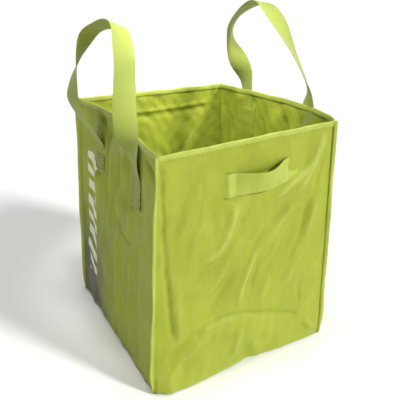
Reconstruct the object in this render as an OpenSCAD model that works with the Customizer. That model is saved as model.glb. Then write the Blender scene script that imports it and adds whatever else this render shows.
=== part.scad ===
// Open-topped storage bag sewn from laminated woven polypropylene.
// Four side panels and a base, corner seams bound with tape, a bound rim,
// two webbing handle loops on the left and right sides and a grab handle
// of the same webbing across the front.
// X runs to the right, Y to the rear, Z up; the base rests on Z = 0.

/* [Bag body] */
// Height of the bag from the base to the rim
bag_h = 560; // [400:1:700]
// Width of the base along its front edge
base_front_w = 466; // [380:1:600]
// Width of the base along its rear edge
base_rear_w = 450; // [380:1:600]
// Depth of the base from front to rear
base_d = 490; // [380:1:620]
// Width of the mouth
rim_w = 420; // [360:1:560]
// Depth of the mouth from front to rear
rim_d = 486; // [380:1:620]
// Sideways lean of the mouth to the right
rim_lean = 10; // [0:1:30]
// Thickness of the panel fabric as laid up
fabric_t = 1.0; // [0.6:0.1:2]
// How far each panel stops short of its corner
corner_inset = 5; // [3:0.5:10]

/* [Slack in the panels] */
// How far the left panel sags inward at the mouth
left_sag = 24; // [0:1:40]
// How far the right panel bulges outward at the mouth
right_bulge = 44; // [0:1:60]
// How far the front panel bulges forward at the base
front_foot_bulge = 20; // [0:1:30]
// How far the front and rear panels belly out at half height
belly = 6; // [0:1:20]

/* [Seams and rim] */
// Depth of the tape folded over the rim
rim_tape_h = 11; // [8:0.5:25]
// Thickness of one layer of binding tape
tape_t = 0.8; // [0.5:0.1:1.5]
// How far the bound corner seam stands out from the corner
seam_flange = 9; // [5:0.5:16]
// Thickness of the bound corner seam at its edge
seam_edge_t = 3; // [2:0.1:5]
// Height of the tape over the base seams inside the bag
base_tape_h = 16; // [8:1:30]
// Gap left between sewn layers
layer_gap = 0.2; // [0.1:0.05:0.4]

/* [Side handles] */
// Width of the webbing
webbing_w = 50; // [38:1:60]
// Thickness of the webbing
webbing_t = 2.0; // [1.4:0.1:3]
// Distance of each sewn leg from the middle of its side
leg_spacing = 128; // [100:1:150]
// Height at which the legs come free of the panel, below the rim
leg_release = 55; // [45:1:80]
// Length of each leg that is sewn to the panel
leg_sewn = 100; // [70:1:160]
// Height of the bending line of the loops above the rim
bend_above_rim = 8; // [5:1:20]
// Rise of the left loop above its bending line
left_loop_rise = 196; // [140:1:260]
// Rise of the right loop above its bending line
right_loop_rise = 222; // [160:1:280]
// Half of the gap across the bending line
bend_gap = 1.5; // [1.3:0.1:2.5]

/* [Front grab handle] */
// Centre of the grab handle to the right of the middle
grab_x = 32; // [-60:1:60]
// Height of the grab handle's centre below the rim
grab_drop = 92; // [60:1:160]
// Free span of the grab handle between its sewn ends
grab_span = 128; // [100:1:180]
// Length of each sewn end
grab_end = 28; // [20:1:45]
// How far the grab handle stands out at its middle
grab_bow = 26; // [20:1:40]
// How far the swinging stretch stands off at its own ends
grab_standoff = 11; // [10:0.5:14]

/* [Stitching] */
// Length of one stitch
stitch_len = 5; // [3:0.5:8]
// Distance from one stitch to the next
stitch_pitch = 9; // [6:0.5:16]
// Width of the sewing thread
thread_w = 1.0; // [0.6:0.1:1.6]
// Distance of the stitching from the edge of the webbing
stitch_margin = 5; // [3:0.5:10]

/* [Hidden] */

// Colours
fabric_colour = "#b9c454";
tape_colour = "#c6cf74";
webbing_colour = "#bcc766";
thread_colour = "#a3ad48";

// The four sides, each with its first and last corner, the direction it runs
// in (0 for X, 1 for Y) and the sign of its outward direction
FRONT = 0;
REAR = 1;
LEFT = 2;
RIGHT = 3;
first_corner = [0, 3, 0, 1];
last_corner = [1, 2, 3, 2];
run_axis = [0, 0, 1, 1];
out_sign = [-1, 1, -1, 1];

// Corners run front left, front right, rear right, rear left
corner_side = [-1, 1, 1, -1];
corner_end = [-1, -1, 1, 1];

// Divisions of a panel along its run and up its height
run_cells = 22;
rise_cells = 14;

// Shape of the slack along each side: 1 puts the deepest point in the middle
sag_skew = [0.55, 1, 1.67, 0.67];

// Sewn leg ends and where each leg crosses the bending line. The legs draw
// together or apart a little as they leave the panel.
// [side, place along the side when sewn, place along the side at the bend,
//  distance of the bend from the panel]
bend_z = bag_h + bend_above_rim;
legs = [
    [LEFT, -leg_spacing, -leg_spacing + 16, 10],
    [LEFT, leg_spacing, leg_spacing - 6, 50],
    [RIGHT, -leg_spacing, -leg_spacing + 28, 8],
    [RIGHT, leg_spacing, leg_spacing + 14, 10],
];

// Routes of the two loops between their legs, as shares of the loop's rise and
// of half the distance between its legs: [outward from the bend of the front
// leg in mm, place along, height, turn of the webbing in degrees]
left_route = [
    [1, -0.73, 0.19, -12],
    [-26, -0.32, 0.74, 10],
    [-38, 0.10, 0.99, 26],
    [-18, 0.55, 0.95, 16],
    [4, 0.87, 0.84, 4],
    [27, 0.95, 0.57, -80],
    [45, 0.98, 0.13, -100],
];
right_route = [
    [0, -0.82, 0.20, 50],
    [-6, -0.39, 0.53, 33],
    [-20, 0.08, 0.86, 4],
    [-35, 0.56, 1.00, 8],
    [-62, 1.08, 0.80, -25],
    [-61, 1.24, 0.53, -33],
    [-26, 1.08, 0.14, 68],
];
route_steps = 5;
turn_stations = 4;

// Seam of the leg: the box of stitches sewn through it
stitch_box_h = 62;
stitch_lift = 0.2;

// ---------- shape of the bag ----------

function mix(a, b, k) = a + (b - a) * k;
function smooth(k) = let (c = min(max(k, 0), 1)) c * c * (3 - 2 * c);
function base_half(corner) = (corner_end[corner] < 0 ? base_front_w : base_rear_w) / 2;

// Place of a corner seam at the share v of the height
function corner_at(corner, v) = [
    mix(corner_side[corner] * base_half(corner),
        corner_side[corner] * rim_w / 2 + rim_lean, v),
    mix(corner_end[corner] * base_d / 2, corner_end[corner] * rim_d / 2, v),
];

// Outward slack of a side at the shares u along it and v up it
function slack_depth(side, v) =
    side == LEFT ? -left_sag * pow(v, 1.6)
    : side == RIGHT ? right_bulge * pow(v, 1.4)
    : side == FRONT ? front_foot_bulge * pow(1 - min(v, 1), 3)
    : 0;
function slack(side, u, v) =
    let (k = min(max(u, 0), 1), w = min(v, 1))
    slack_depth(side, w) * sin(180 * pow(k, sag_skew[side]))
    + (run_axis[side] == 0 ? belly * sin(180 * k) * sin(180 * w) : 0);

// Distance of a side's outer face from the middle plane, at the distance run
// along the side and the height z
function face_at(side, run, z) =
    let (v = z / bag_h,
         a = corner_at(first_corner[side], v),
         b = corner_at(last_corner[side], v),
         r = run_axis[side],
         u = (run - a[r]) / (b[r] - a[r]))
    out_sign[side] * mix(a[1 - r], b[1 - r], u) + slack(side, u, v);

// A point off the outer face of a side by the distance off, outward positive
function on_side(side, run, z, off) =
    let (d = out_sign[side] * (face_at(side, run, z) + off))
    run_axis[side] == 0 ? [run, d, z] : [d, run, z];

// Run of a side's first and last edge at the height z, less the inset
function run_start(side, z, inset) =
    corner_at(first_corner[side], z / bag_h)[run_axis[side]] + inset;
function run_end(side, z, inset) =
    corner_at(last_corner[side], z / bag_h)[run_axis[side]] - inset;

// Whether a side's run, height and outward direction are left-handed
function left_handed(side) = side == REAR || side == LEFT;

// ---------- solids ----------

// A closed solid from two grids of points, the inner one first. Each grid has
// (across + 1) points in a row and (up + 1) rows.
module shell(inner, outer, across, up, mirrored) {
    n = (across + 1) * (up + 1);
    function at(i, j) = j * (across + 1) + i;
    quads = concat(
        [for (j = [0:up - 1], i = [0:across - 1])
            [n + at(i, j), n + at(i, j + 1), n + at(i + 1, j + 1), n + at(i + 1, j)]],
        [for (j = [0:up - 1], i = [0:across - 1])
            [at(i, j), at(i + 1, j), at(i + 1, j + 1), at(i, j + 1)]],
        [for (i = [0:across - 1])
            [at(i, 0), n + at(i, 0), n + at(i + 1, 0), at(i + 1, 0)]],
        [for (i = [0:across - 1])
            [at(i, up), at(i + 1, up), n + at(i + 1, up), n + at(i, up)]],
        [for (j = [0:up - 1])
            [at(0, j), at(0, j + 1), n + at(0, j + 1), n + at(0, j)]],
        [for (j = [0:up - 1])
            [at(across, j), n + at(across, j), n + at(across, j + 1), at(across, j + 1)]]
    );
    faces = [for (q = quads, half = [0, 1])
        let (t = half == 0 ? [q[0], q[1], q[2]] : [q[0], q[2], q[3]])
        mirrored ? [t[2], t[1], t[0]] : t];
    polyhedron(points = concat(inner, outer), faces = faces, convexity = 6);
}

// A layer over a side with rows of points at the given heights, between two
// distances off it. Its cells line up with the panel's, and it stops a number
// of cells short of each corner.
module side_layer(side, skip, heights, off0, off1) {
    function grid(off) = [for (z = heights, i = [skip:run_cells - skip])
        on_side(side, mix(run_start(side, z, corner_inset),
            run_end(side, z, corner_inset), i / run_cells), z, off)];
    shell(grid(off0), grid(off1), run_cells - 2 * skip, len(heights) - 1, left_handed(side));
}

// A rectangle of cloth on a side, between two runs and two heights
module side_patch(side, run0, run1, z0, z1, off0, off1, across, up) {
    function grid(off) = [for (j = [0:up], i = [0:across])
        on_side(side, mix(run0, run1, i / across), mix(z0, z1, j / up), off)];
    shell(grid(off0), grid(off1), across, up, left_handed(side));
}

module panel(side) {
    // The top row of cells is as deep as the rim tape
    heights = concat([for (j = [0:rise_cells]) (bag_h - rim_tape_h) * j / rise_cells],
        [bag_h]);
    color(fabric_colour)
    side_layer(side, 0, heights, -fabric_t, 0);
}

module base_panel() {
    // Fits inside the foot of the four side panels
    inset = fabric_t + layer_gap;
    function edge(side, back) = [for (i = [0:run_cells])
        let (k = back ? 1 - i / run_cells : i / run_cells,
             r = mix(run_start(side, 0, corner_inset), run_end(side, 0, corner_inset), k),
             p = on_side(side, r, 0, -inset))
        [p[0], p[1]]];
    outline = concat(edge(FRONT, false), edge(RIGHT, false),
        edge(REAR, true), edge(LEFT, true));
    color(fabric_colour)
    linear_extrude(fabric_t) polygon(outline);
}

// Tape folded over the rim of one side, seen end on as a narrow inverted U
module rim_tape(side) {
    inset = corner_inset;
    low = bag_h - rim_tape_h;
    seat = layer_gap;
    // [distance off the outer face, height], round the U
    section = [
        [seat + tape_t, low], [seat + tape_t, bag_h + seat + tape_t],
        [-fabric_t - seat - tape_t, bag_h + seat + tape_t],
        [-fabric_t - seat - tape_t, low], [-fabric_t - seat, low],
        [-fabric_t - seat, bag_h + seat], [seat, bag_h + seat], [seat, low],
    ];
    n = len(section);
    points = [for (i = [0:run_cells], s = section)
        on_side(side, mix(run_start(side, s[1], inset), run_end(side, s[1], inset),
            i / run_cells), s[1], s[0])];
    walls = [for (i = [0:run_cells - 1], k = [0:n - 1])
        let (a = i * n + k, b = i * n + (k + 1) % n)
        [a, b, b + n, a + n]];
    caps = [[0, 7, 6, 1], [1, 6, 5, 2], [2, 5, 4, 3]];
    ends = concat(caps, [for (c = caps)
        [for (k = [3:-1:0]) c[k] + run_cells * n]]);
    faces = [for (q = concat(walls, ends), half = [0, 1])
        let (t = half == 0 ? [q[0], q[1], q[2]] : [q[0], q[2], q[3]])
        left_handed(side) ? [t[2], t[1], t[0]] : t];
    color(tape_colour)
    polyhedron(points = points, faces = faces, convexity = 6);
}

// Tape that binds the two panel edges into one seam standing out of a corner
module corner_tape(corner) {
    // The sides that meet here: one that runs along X and one along Y
    long_side = corner_end[corner] < 0 ? FRONT : REAR;
    short_side = corner_side[corner] < 0 ? LEFT : RIGHT;
    hold = corner_inset - layer_gap;
    sx = corner_side[corner];
    sy = corner_end[corner];
    function edge_point(side, z, off) =
        on_side(side, first_corner[side] == corner
            ? run_start(side, z, hold) : run_end(side, z, hold), z, off);
    function ring(z) =
        let (c = corner_at(corner, z / bag_h),
             tip = [c[0] + sx * seam_flange * cos(45), c[1] + sy * seam_flange * sin(45), z],
             half = seam_edge_t / 2 * cos(45))
        [edge_point(long_side, z, -fabric_t), edge_point(long_side, z, 0),
         tip + [-sx * half, sy * half, 0], tip + [sx * half, -sy * half, 0],
         edge_point(short_side, z, 0), edge_point(short_side, z, -fabric_t)];
    rows = rise_cells;
    n = 6;
    points = [for (j = [0:rows]) each ring(bag_h * j / rows)];
    walls = [for (j = [0:rows - 1], k = [0:n - 1])
        let (a = j * n + k, b = j * n + (k + 1) % n)
        [a, b, b + n, a + n]];
    caps = [[0, 5, 4, 1], [1, 4, 3, 2]];
    ends = concat(caps, [for (c = caps) [for (k = [3:-1:0]) c[k] + rows * n]]);
    mirrored = sx * sy > 0;
    faces = [for (q = concat(walls, ends), half = [0, 1])
        let (t = half == 0 ? [q[0], q[1], q[2]] : [q[0], q[2], q[3]])
        mirrored ? t : [t[2], t[1], t[0]]];
    color(tape_colour)
    polyhedron(points = points, faces = faces, convexity = 6);
}

// Tape standing against the inside of a panel, over its seam with the base
module base_tape(side) {
    back = -fabric_t - layer_gap;
    foot = fabric_t + layer_gap;
    color(tape_colour)
    side_layer(side, 1, [foot, foot + base_tape_h], back - tape_t, back);
}

// ---------- handles ----------

// The webbing stands off the panel by the thickness of the rim tape
leg_seat = tape_t + 2 * layer_gap;
leg_top = bend_z - bend_gap;
leg_free = bag_h - leg_release;
leg_low = leg_free - leg_sewn;

// Distance of a bending line from the middle plane, at a run along the side
function bend_x(leg) = face_at(legs[leg][0], legs[leg][2], bag_h) + leg_seat + legs[leg][3];
function bend_line(leg, run) =
    let (front = leg < 2 ? 0 : 2)
    mix(bend_x(front), bend_x(front + 1),
        (run - legs[front][2]) / (legs[front + 1][2] - legs[front][2]));

// A point of a leg's webbing, at the share k across its width
function leg_point(leg, k, z, off) =
    let (side = legs[leg][0],
         q = smooth((z - leg_free) / (leg_top - leg_free)),
         run = mix(legs[leg][1], legs[leg][2], q) + (k - 0.5) * webbing_w,
         flat = face_at(side, run, min(z, bag_h)) + leg_seat,
         d = mix(flat, bend_line(leg, run) - webbing_t / 2, q) + off)
    [out_sign[side] * d, run, z];

module leg(index) {
    across = 4;
    up = 12;
    function grid(off) = [for (j = [0:up], i = [0:across])
        leg_point(index, i / across, mix(leg_low, leg_top, j / up), off)];
    color(webbing_colour)
    shell(grid(0), grid(webbing_t), across, up, left_handed(legs[index][0]));
}

// A smooth curve through the rows of a list, which may hold more than a point
function curve(rows, i, k) =
    let (n = len(rows),
         b = rows[i], c = rows[i + 1],
         a = i > 0 ? rows[i - 1] : 2 * b - c,
         d = i + 2 < n ? rows[i + 2] : 2 * c - b)
    0.5 * (2 * b + (c - a) * k + (2 * a - 5 * b + 4 * c - d) * k * k
        + (3 * b - a - 3 * c + d) * k * k * k);
function stations(rows, steps) = concat(
    [for (i = [0:len(rows) - 2], s = [0:steps - 1]) curve(rows, i, s / steps)],
    [rows[len(rows) - 1]]);

function unit(v) = v / norm(v);

// Webbing swept along rows of [x, y, z, turn]. The turn is the angle of the
// webbing's width from the X direction, about the way that it runs.
module webbing_sweep(rows, steps) {
    path = stations(rows, steps);
    last = len(path) - 1;
    function place(i) = [path[i][0], path[i][1], path[i][2]];
    // Both ends are cut level, to meet the legs, and turn square to the route
    // over the first few stations
    function way(i) =
        let (end = i < last / 2 ? [0, 0, 1] : [0, 0, -1],
             free = unit(place(min(i + 1, last)) - place(max(i - 1, 0))))
        unit(mix(end, free, smooth(min(i, last - i) / turn_stations)));
    function ring(i) =
        let (t = way(i),
             flat = unit([1, 0, 0] - t * t[0]),
             rise = cross(t, flat),
             w = (flat * cos(path[i][3]) + rise * sin(path[i][3])) * webbing_w / 2,
             h = unit(cross(w, t)) * webbing_t / 2)
        [place(i) - w - h, place(i) + w - h, place(i) + w + h, place(i) - w + h];
    points = [for (i = [0:last]) each ring(i)];
    // Both broad faces are split along the same diagonal, so that a twisted
    // stretch keeps its thickness
    walls = [for (i = [0:last - 1], k = [0:3])
        let (a = i * 4 + k, b = i * 4 + (k + 1) % 4)
        k == 2 ? [b, b + 4, a + 4, a] : [a, b, b + 4, a + 4]];
    ends = [[3, 2, 1, 0], [for (k = [0:3]) last * 4 + k]];
    faces = [for (q = concat(walls, ends), half = [0, 1])
        half == 0 ? [q[0], q[1], q[2]] : [q[0], q[2], q[3]]];
    polyhedron(points = points, faces = faces, convexity = 10);
}

// One loop, from its front leg over to its rear leg
module handle_loop(front, route, rise) {
    side = legs[front][0];
    s = out_sign[side];
    y0 = legs[front][2];
    y1 = legs[front + 1][2];
    x0 = bend_x(front);
    x1 = bend_x(front + 1);
    z0 = bend_z + bend_gap;
    half = (y1 - y0) / 2;
    // The webbing leaves each leg with its width along the bending line
    skew = atan((x1 - x0) / (y1 - y0));
    rows = concat(
        [[s * x0, y0, z0, s * 90 - skew * s]],
        [for (r = route)
            [s * (x0 + r[0]), (y0 + y1) / 2 + r[1] * half, z0 + r[2] * rise, r[3]]],
        [[s * x1, y1, z0, s * 90 + skew * s]]);
    color(webbing_colour)
    webbing_sweep(rows, route_steps);
}

// Cloth sewn inside the panel behind a leg
module leg_patch(index) {
    side = legs[index][0];
    spare = 8;
    half = webbing_w / 2 + spare;
    back = -fabric_t - layer_gap;
    color(fabric_colour)
    side_patch(side, legs[index][1] - half, legs[index][1] + half,
        leg_low - spare, min(leg_free + spare, bag_h - rim_tape_h - 2 * spare),
        back - fabric_t, back, 6, 4);
}

// ---------- front grab handle ----------

grab_z = bag_h - grab_drop;
grab_x0 = grab_x - grab_span / 2;
grab_seat = 2 * layer_gap;
// Where the bowed webbing stands off far enough to swing clear of the panel
grab_split = grab_span * asin(grab_standoff / grab_bow) / 180;
split_gap = 0.6;

function grab_bow_at(run) =
    let (k = (run - grab_x0) / grab_span)
    k <= 0 || k >= 1 ? 0 : grab_bow * sin(180 * k);

module grab_piece(run0, run1, across) {
    up = 2;
    function grid(off) = [for (j = [0:up], i = [0:across])
        let (run = mix(run0, run1, i / across),
             z = mix(grab_z - webbing_w / 2, grab_z + webbing_w / 2, j / up),
             near = on_side(FRONT, run, z, grab_seat + off + grab_bow_at(run)))
        near];
    color(webbing_colour)
    shell(grid(0), grid(webbing_t), across, up, left_handed(FRONT));
}

module grab_patch() {
    spare = 6;
    back = -fabric_t - layer_gap;
    half = grab_span / 2 + grab_end + spare;
    color(fabric_colour)
    side_patch(FRONT, grab_x - half, grab_x + half,
        grab_z - webbing_w / 2 - spare, grab_z + webbing_w / 2 + spare,
        back - fabric_t, back, 8, 2);
}

// ---------- stitching ----------

// One stitch on a side, lying at an angle to its run, off the outer face
module stitch(side, run, z, angle, off) {
    along = [cos(angle), sin(angle)] * stitch_len / 2;
    over = [-sin(angle), cos(angle)] * thread_w / 2;
    corners = [-along - over, along - over, -along + over, along + over];
    function ends(lift) = [for (c = corners)
        on_side(side, run + c[0], z + c[1], off + lift)];
    shell(ends(0), ends(thread_w * 0.6), 1, 1, left_handed(side));
}

// A straight line of stitches between two points of a side
module stitch_line(side, from, to, off) {
    span = norm(to - from);
    count = max(1, round(span / stitch_pitch));
    angle = atan2(to[1] - from[1], to[0] - from[0]);
    for (i = [0:count - 1])
        let (p = from + (to - from) * (i + 0.5) / count)
        stitch(side, p[0], p[1], angle, off);
}

// A box of stitches crossed from corner to corner, as on any load strap
module box_stitch(side, run0, run1, z0, z1, off) {
    stitch_line(side, [run0, z0], [run1, z0], off);
    stitch_line(side, [run0, z1], [run1, z1], off);
    stitch_line(side, [run0, z0 + stitch_pitch / 2], [run0, z1 - stitch_pitch / 2], off);
    stitch_line(side, [run1, z0 + stitch_pitch / 2], [run1, z1 - stitch_pitch / 2], off);
    // The second diagonal stops either side of the first
    mid = [(run0 + run1) / 2, (z0 + z1) / 2];
    clear = [(run1 - run0), (z1 - z0)] / norm([run1 - run0, z1 - z0]) * stitch_pitch;
    stitch_line(side, [run0, z0] + clear, [run1, z1] - clear, off);
    stitch_line(side, [run0 + clear[0], z1 - clear[1]],
        [mid[0] - clear[0], mid[1] + clear[1]], off);
    stitch_line(side, [mid[0] + clear[0], mid[1] - clear[1]],
        [run1 - clear[0], z0 + clear[1]], off);
}

module leg_stitching(index) {
    half = webbing_w / 2 - stitch_margin;
    low = leg_low + stitch_margin;
    color(thread_colour)
    box_stitch(legs[index][0], legs[index][1] - half, legs[index][1] + half,
        low, low + stitch_box_h, leg_seat + webbing_t + stitch_lift);
}

module grab_stitching() {
    off = grab_seat + webbing_t + stitch_lift;
    top = grab_z + webbing_w / 2 - stitch_margin;
    low = grab_z - webbing_w / 2 + stitch_margin;
    color(thread_colour)
    for (k = [0, 1]) {
        run = k == 0 ? grab_x0 - grab_end : grab_x0 + grab_span;
        for (step = [0.2, 0.75])
            stitch_line(FRONT, [run + grab_end * step, low], [run + grab_end * step, top], off);
    }
}

module rim_stitching(side) {
    z = bag_h - rim_tape_h + 2.5;
    off = layer_gap + tape_t + stitch_lift;
    edge = corner_inset + stitch_pitch;
    // Stitches under a leg's webbing are left out, where the webbing covers them
    from = run_start(side, z, edge);
    to = run_end(side, z, edge);
    count = round((to - from) / stitch_pitch);
    covers = [for (l = legs) if (l[0] == side) [min(l[1], l[2]), max(l[1], l[2])]];
    color(thread_colour)
    for (i = [0:count]) {
        run = mix(from, to, i / count);
        hidden = len([for (c = covers)
            if (run > c[0] - webbing_w / 2 - stitch_len
                && run < c[1] + webbing_w / 2 + stitch_len) 1]);
        if (hidden == 0)
            stitch(side, run, z, 0, off);
    }
}

panel(FRONT);  // front_panel
panel(REAR);  // rear_panel
panel(LEFT);  // left_panel
panel(RIGHT);  // right_panel
base_panel();
rim_tape(FRONT);  // front_rim_tape
rim_tape(REAR);  // rear_rim_tape
rim_tape(LEFT);  // left_rim_tape
rim_tape(RIGHT);  // right_rim_tape
corner_tape(0);  // front_left_corner_tape
corner_tape(1);  // front_right_corner_tape
corner_tape(2);  // rear_right_corner_tape
corner_tape(3);  // rear_left_corner_tape
base_tape(FRONT);  // front_base_tape
base_tape(REAR);  // rear_base_tape
base_tape(LEFT);  // left_base_tape
base_tape(RIGHT);  // right_base_tape
leg(0);  // left_front_leg
leg(1);  // left_rear_leg
leg(2);  // right_front_leg
leg(3);  // right_rear_leg
handle_loop(0, left_route, left_loop_rise);  // left_handle_loop
handle_loop(2, right_route, right_loop_rise);  // right_handle_loop
leg_patch(0);  // left_front_patch
leg_patch(1);  // left_rear_patch
leg_patch(2);  // right_front_patch
leg_patch(3);  // right_rear_patch
grab_piece(grab_x0 + grab_split + split_gap, grab_x0 + grab_span - grab_split - split_gap, 12);  // grab_strap
grab_piece(grab_x0 - grab_end, grab_x0 + grab_split - split_gap, 8);  // grab_left_end
grab_piece(grab_x0 + grab_span - grab_split + split_gap,  // grab_right_end
        grab_x0 + grab_span + grab_end, 8);
grab_patch();
leg_stitching(0);  // left_front_stitching
leg_stitching(1);  // left_rear_stitching
leg_stitching(2);  // right_front_stitching
leg_stitching(3);  // right_rear_stitching
grab_stitching();
rim_stitching(FRONT);  // front_rim_stitching
rim_stitching(REAR);  // rear_rim_stitching
rim_stitching(LEFT);  // left_rim_stitching
rim_stitching(RIGHT);  // right_rim_stitching
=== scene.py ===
"""Looks of an open storage bag sewn from laminated woven polypropylene.

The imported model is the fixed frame. Each class below is one sub-assembly: it repeats the sizes
that its shape needs, in millimetres, builds its cloth, tape, webbing or thread as meshes, and
dresses them in its own finish. X runs to the bag's right, Y to its rear and Z up.
"""

import logging
import math
from dataclasses import dataclass, field
from enum import Enum
from typing import Any, Optional, Sequence

import bmesh
import bpy
import numpy as np
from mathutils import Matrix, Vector, noise


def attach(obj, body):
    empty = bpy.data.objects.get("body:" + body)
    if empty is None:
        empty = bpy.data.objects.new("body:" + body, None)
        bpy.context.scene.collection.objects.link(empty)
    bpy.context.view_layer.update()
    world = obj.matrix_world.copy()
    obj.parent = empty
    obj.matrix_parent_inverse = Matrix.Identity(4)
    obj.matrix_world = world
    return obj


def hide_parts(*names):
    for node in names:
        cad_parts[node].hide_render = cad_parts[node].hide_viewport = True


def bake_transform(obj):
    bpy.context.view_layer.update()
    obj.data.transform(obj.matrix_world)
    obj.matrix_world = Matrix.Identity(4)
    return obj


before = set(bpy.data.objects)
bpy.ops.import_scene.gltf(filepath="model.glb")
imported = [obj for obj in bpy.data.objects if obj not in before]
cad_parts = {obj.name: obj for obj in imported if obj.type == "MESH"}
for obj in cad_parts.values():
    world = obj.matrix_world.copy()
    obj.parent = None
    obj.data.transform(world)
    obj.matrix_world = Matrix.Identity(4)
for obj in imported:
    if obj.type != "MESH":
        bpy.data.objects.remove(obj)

LOG = logging.getLogger("storage_bag")
MM = 0.001
Point = tuple[float, float]
Array = np.ndarray


# ---------- shared helpers ----------

def linear(colour: str) -> tuple[float, float, float, float]:
    """Turns an sRGB hex colour into linear light.

    Args:
        colour: The colour as "#rrggbb".

    Returns:
        Red, green, blue and an alpha of 1, as the shaders take them.
    """
    parts = [int(colour[i:i + 2], 16) / 255 for i in (1, 3, 5)]
    lit = [c / 12.92 if c <= 0.04045 else ((c + 0.055) / 1.055) ** 2.4 for c in parts]
    return (lit[0], lit[1], lit[2], 1.0)


def add_node(tree: bpy.types.NodeTree, kind: str, links: Optional[dict[Any, Any]] = None,
             **settings: Any) -> bpy.types.Node:
    """Adds a shader node with its settings and links.

    Args:
        tree: The node tree that gets the node.
        kind: The node's type name without the ShaderNode prefix.
        links: Input names or numbers, each with the socket or the value that goes in.
        **settings: Attributes to set on the node itself.

    Returns:
        The new node.
    """
    node = tree.nodes.new("ShaderNode" + kind)
    for name, value in settings.items():
        setattr(node, name, value)
    for key, value in (links or {}).items():
        if isinstance(value, bpy.types.NodeSocket):
            tree.links.new(value, node.inputs[key])
        else:
            node.inputs[key].default_value = value
    return node


def smooth(value: Array | float, low: float = 0.0, high: float = 1.0) -> Array:
    """Eases from 0 at low to 1 at high."""
    k = np.clip((np.asarray(value, float) - low) / (high - low), 0.0, 1.0)
    return k * k * (3 - 2 * k)


def curve_through(points: Sequence[Sequence[float]], steps: int) -> Array:
    """Runs a smooth curve through points, which it passes through exactly.

    Args:
        points: The points, of any number of dimensions.
        steps: Stations from one point to the next.

    Returns:
        The stations, one row each.
    """
    p = np.asarray(points, float)
    ends = np.vstack([2 * p[0] - p[1], p, 2 * p[-1] - p[-2]])
    rows = []
    for i in range(len(p) - 1):
        a, b, c, d = ends[i:i + 4]
        for k in np.arange(steps) / steps:
            rows.append(0.5 * (2 * b + (c - a) * k + (2 * a - 5 * b + 4 * c - d) * k * k
                               + (3 * b - a - 3 * c + d) * k ** 3))
    return np.array(rows + [p[-1]])


def grid_faces(across: int, up: int, start: int = 0, wrap: bool = False) -> list[tuple[int, ...]]:
    """Lists the quads of a grid of points held row by row.

    Args:
        across: Points in a row.
        up: Number of rows.
        start: Number of the first point.
        wrap: Whether each row closes on itself.

    Returns:
        The quads, turned the same way.
    """
    cells = across if wrap else across - 1
    return [(start + j * across + i, start + j * across + (i + 1) % across,
             start + (j + 1) * across + (i + 1) % across, start + (j + 1) * across + i)
            for j in range(up - 1) for i in range(cells)]


def make_piece(name: str, points: Array, faces: Sequence[Sequence[int]],
               material: bpy.types.Material, sharp: float = 50.0) -> bpy.types.Object:
    """Makes a mesh object from points in millimetres.

    Args:
        name: The piece's name.
        points: Its points, one row each.
        faces: Its faces as numbers of points.
        material: Its finish.
        sharp: Angle in degrees past which an edge isn't smoothed.

    Returns:
        The new object, linked to the scene.
    """
    mesh = bpy.data.meshes.new(name)
    mesh.from_pydata((np.asarray(points, float) * MM).tolist(), [], [list(f) for f in faces])
    mesh.validate()
    mesh.shade_smooth()
    mesh.set_sharp_from_angle(angle=math.radians(sharp))
    mesh.materials.append(material)
    piece = bpy.data.objects.new(name, mesh)
    bpy.context.scene.collection.objects.link(piece)
    return piece


def store(piece: bpy.types.Object, name: str, values: Array) -> None:
    """Keeps one number for each point of a piece, for its material to read."""
    kept = piece.data.attributes.new(name, "FLOAT", "POINT")
    kept.data.foreach_set("value", np.asarray(values, np.float32))


def tube_faces(around: int, rings: int) -> list[tuple[int, ...]]:
    """Lists the faces of a closed bar made of rings of points, with a flat face at each end."""
    last = around * (rings - 1)
    ends = [tuple(range(around)), tuple(range(last + around - 1, last - 1, -1))]
    return grid_faces(around, rings, wrap=True) + ends


def turn_out(piece: bpy.types.Object) -> None:
    """Turns a closed piece's faces outward."""
    mesh = bmesh.new()
    mesh.from_mesh(piece.data)
    bmesh.ops.recalc_face_normals(mesh, faces=mesh.faces)
    mesh.to_mesh(piece.data)
    mesh.free()


def apply_modifiers(piece: bpy.types.Object) -> None:
    """Makes a piece's modifiers part of its mesh."""
    graph = bpy.context.evaluated_depsgraph_get()
    made = bpy.data.meshes.new_from_object(piece.evaluated_get(graph))
    piece.modifiers.clear()
    piece.data = made


# ---------- finishes ----------

def blank_material(name: str) -> tuple[bpy.types.Material, bpy.types.NodeTree, bpy.types.NodeSocket]:
    """Makes a material with no nodes but its place in metres."""
    material = bpy.data.materials.new(name)
    material.use_nodes = True
    tree = material.node_tree
    tree.nodes.clear()
    return material, tree, add_node(tree, "TexCoord").outputs["Object"]


def calculate(tree: bpy.types.NodeTree, operation: str, *values: Any) -> bpy.types.NodeSocket:
    """Adds a sum to a node tree: its operation as Blender names it, then its sockets or numbers."""
    return add_node(tree, "Math", dict(enumerate(values)), operation=operation).outputs[0]


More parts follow.
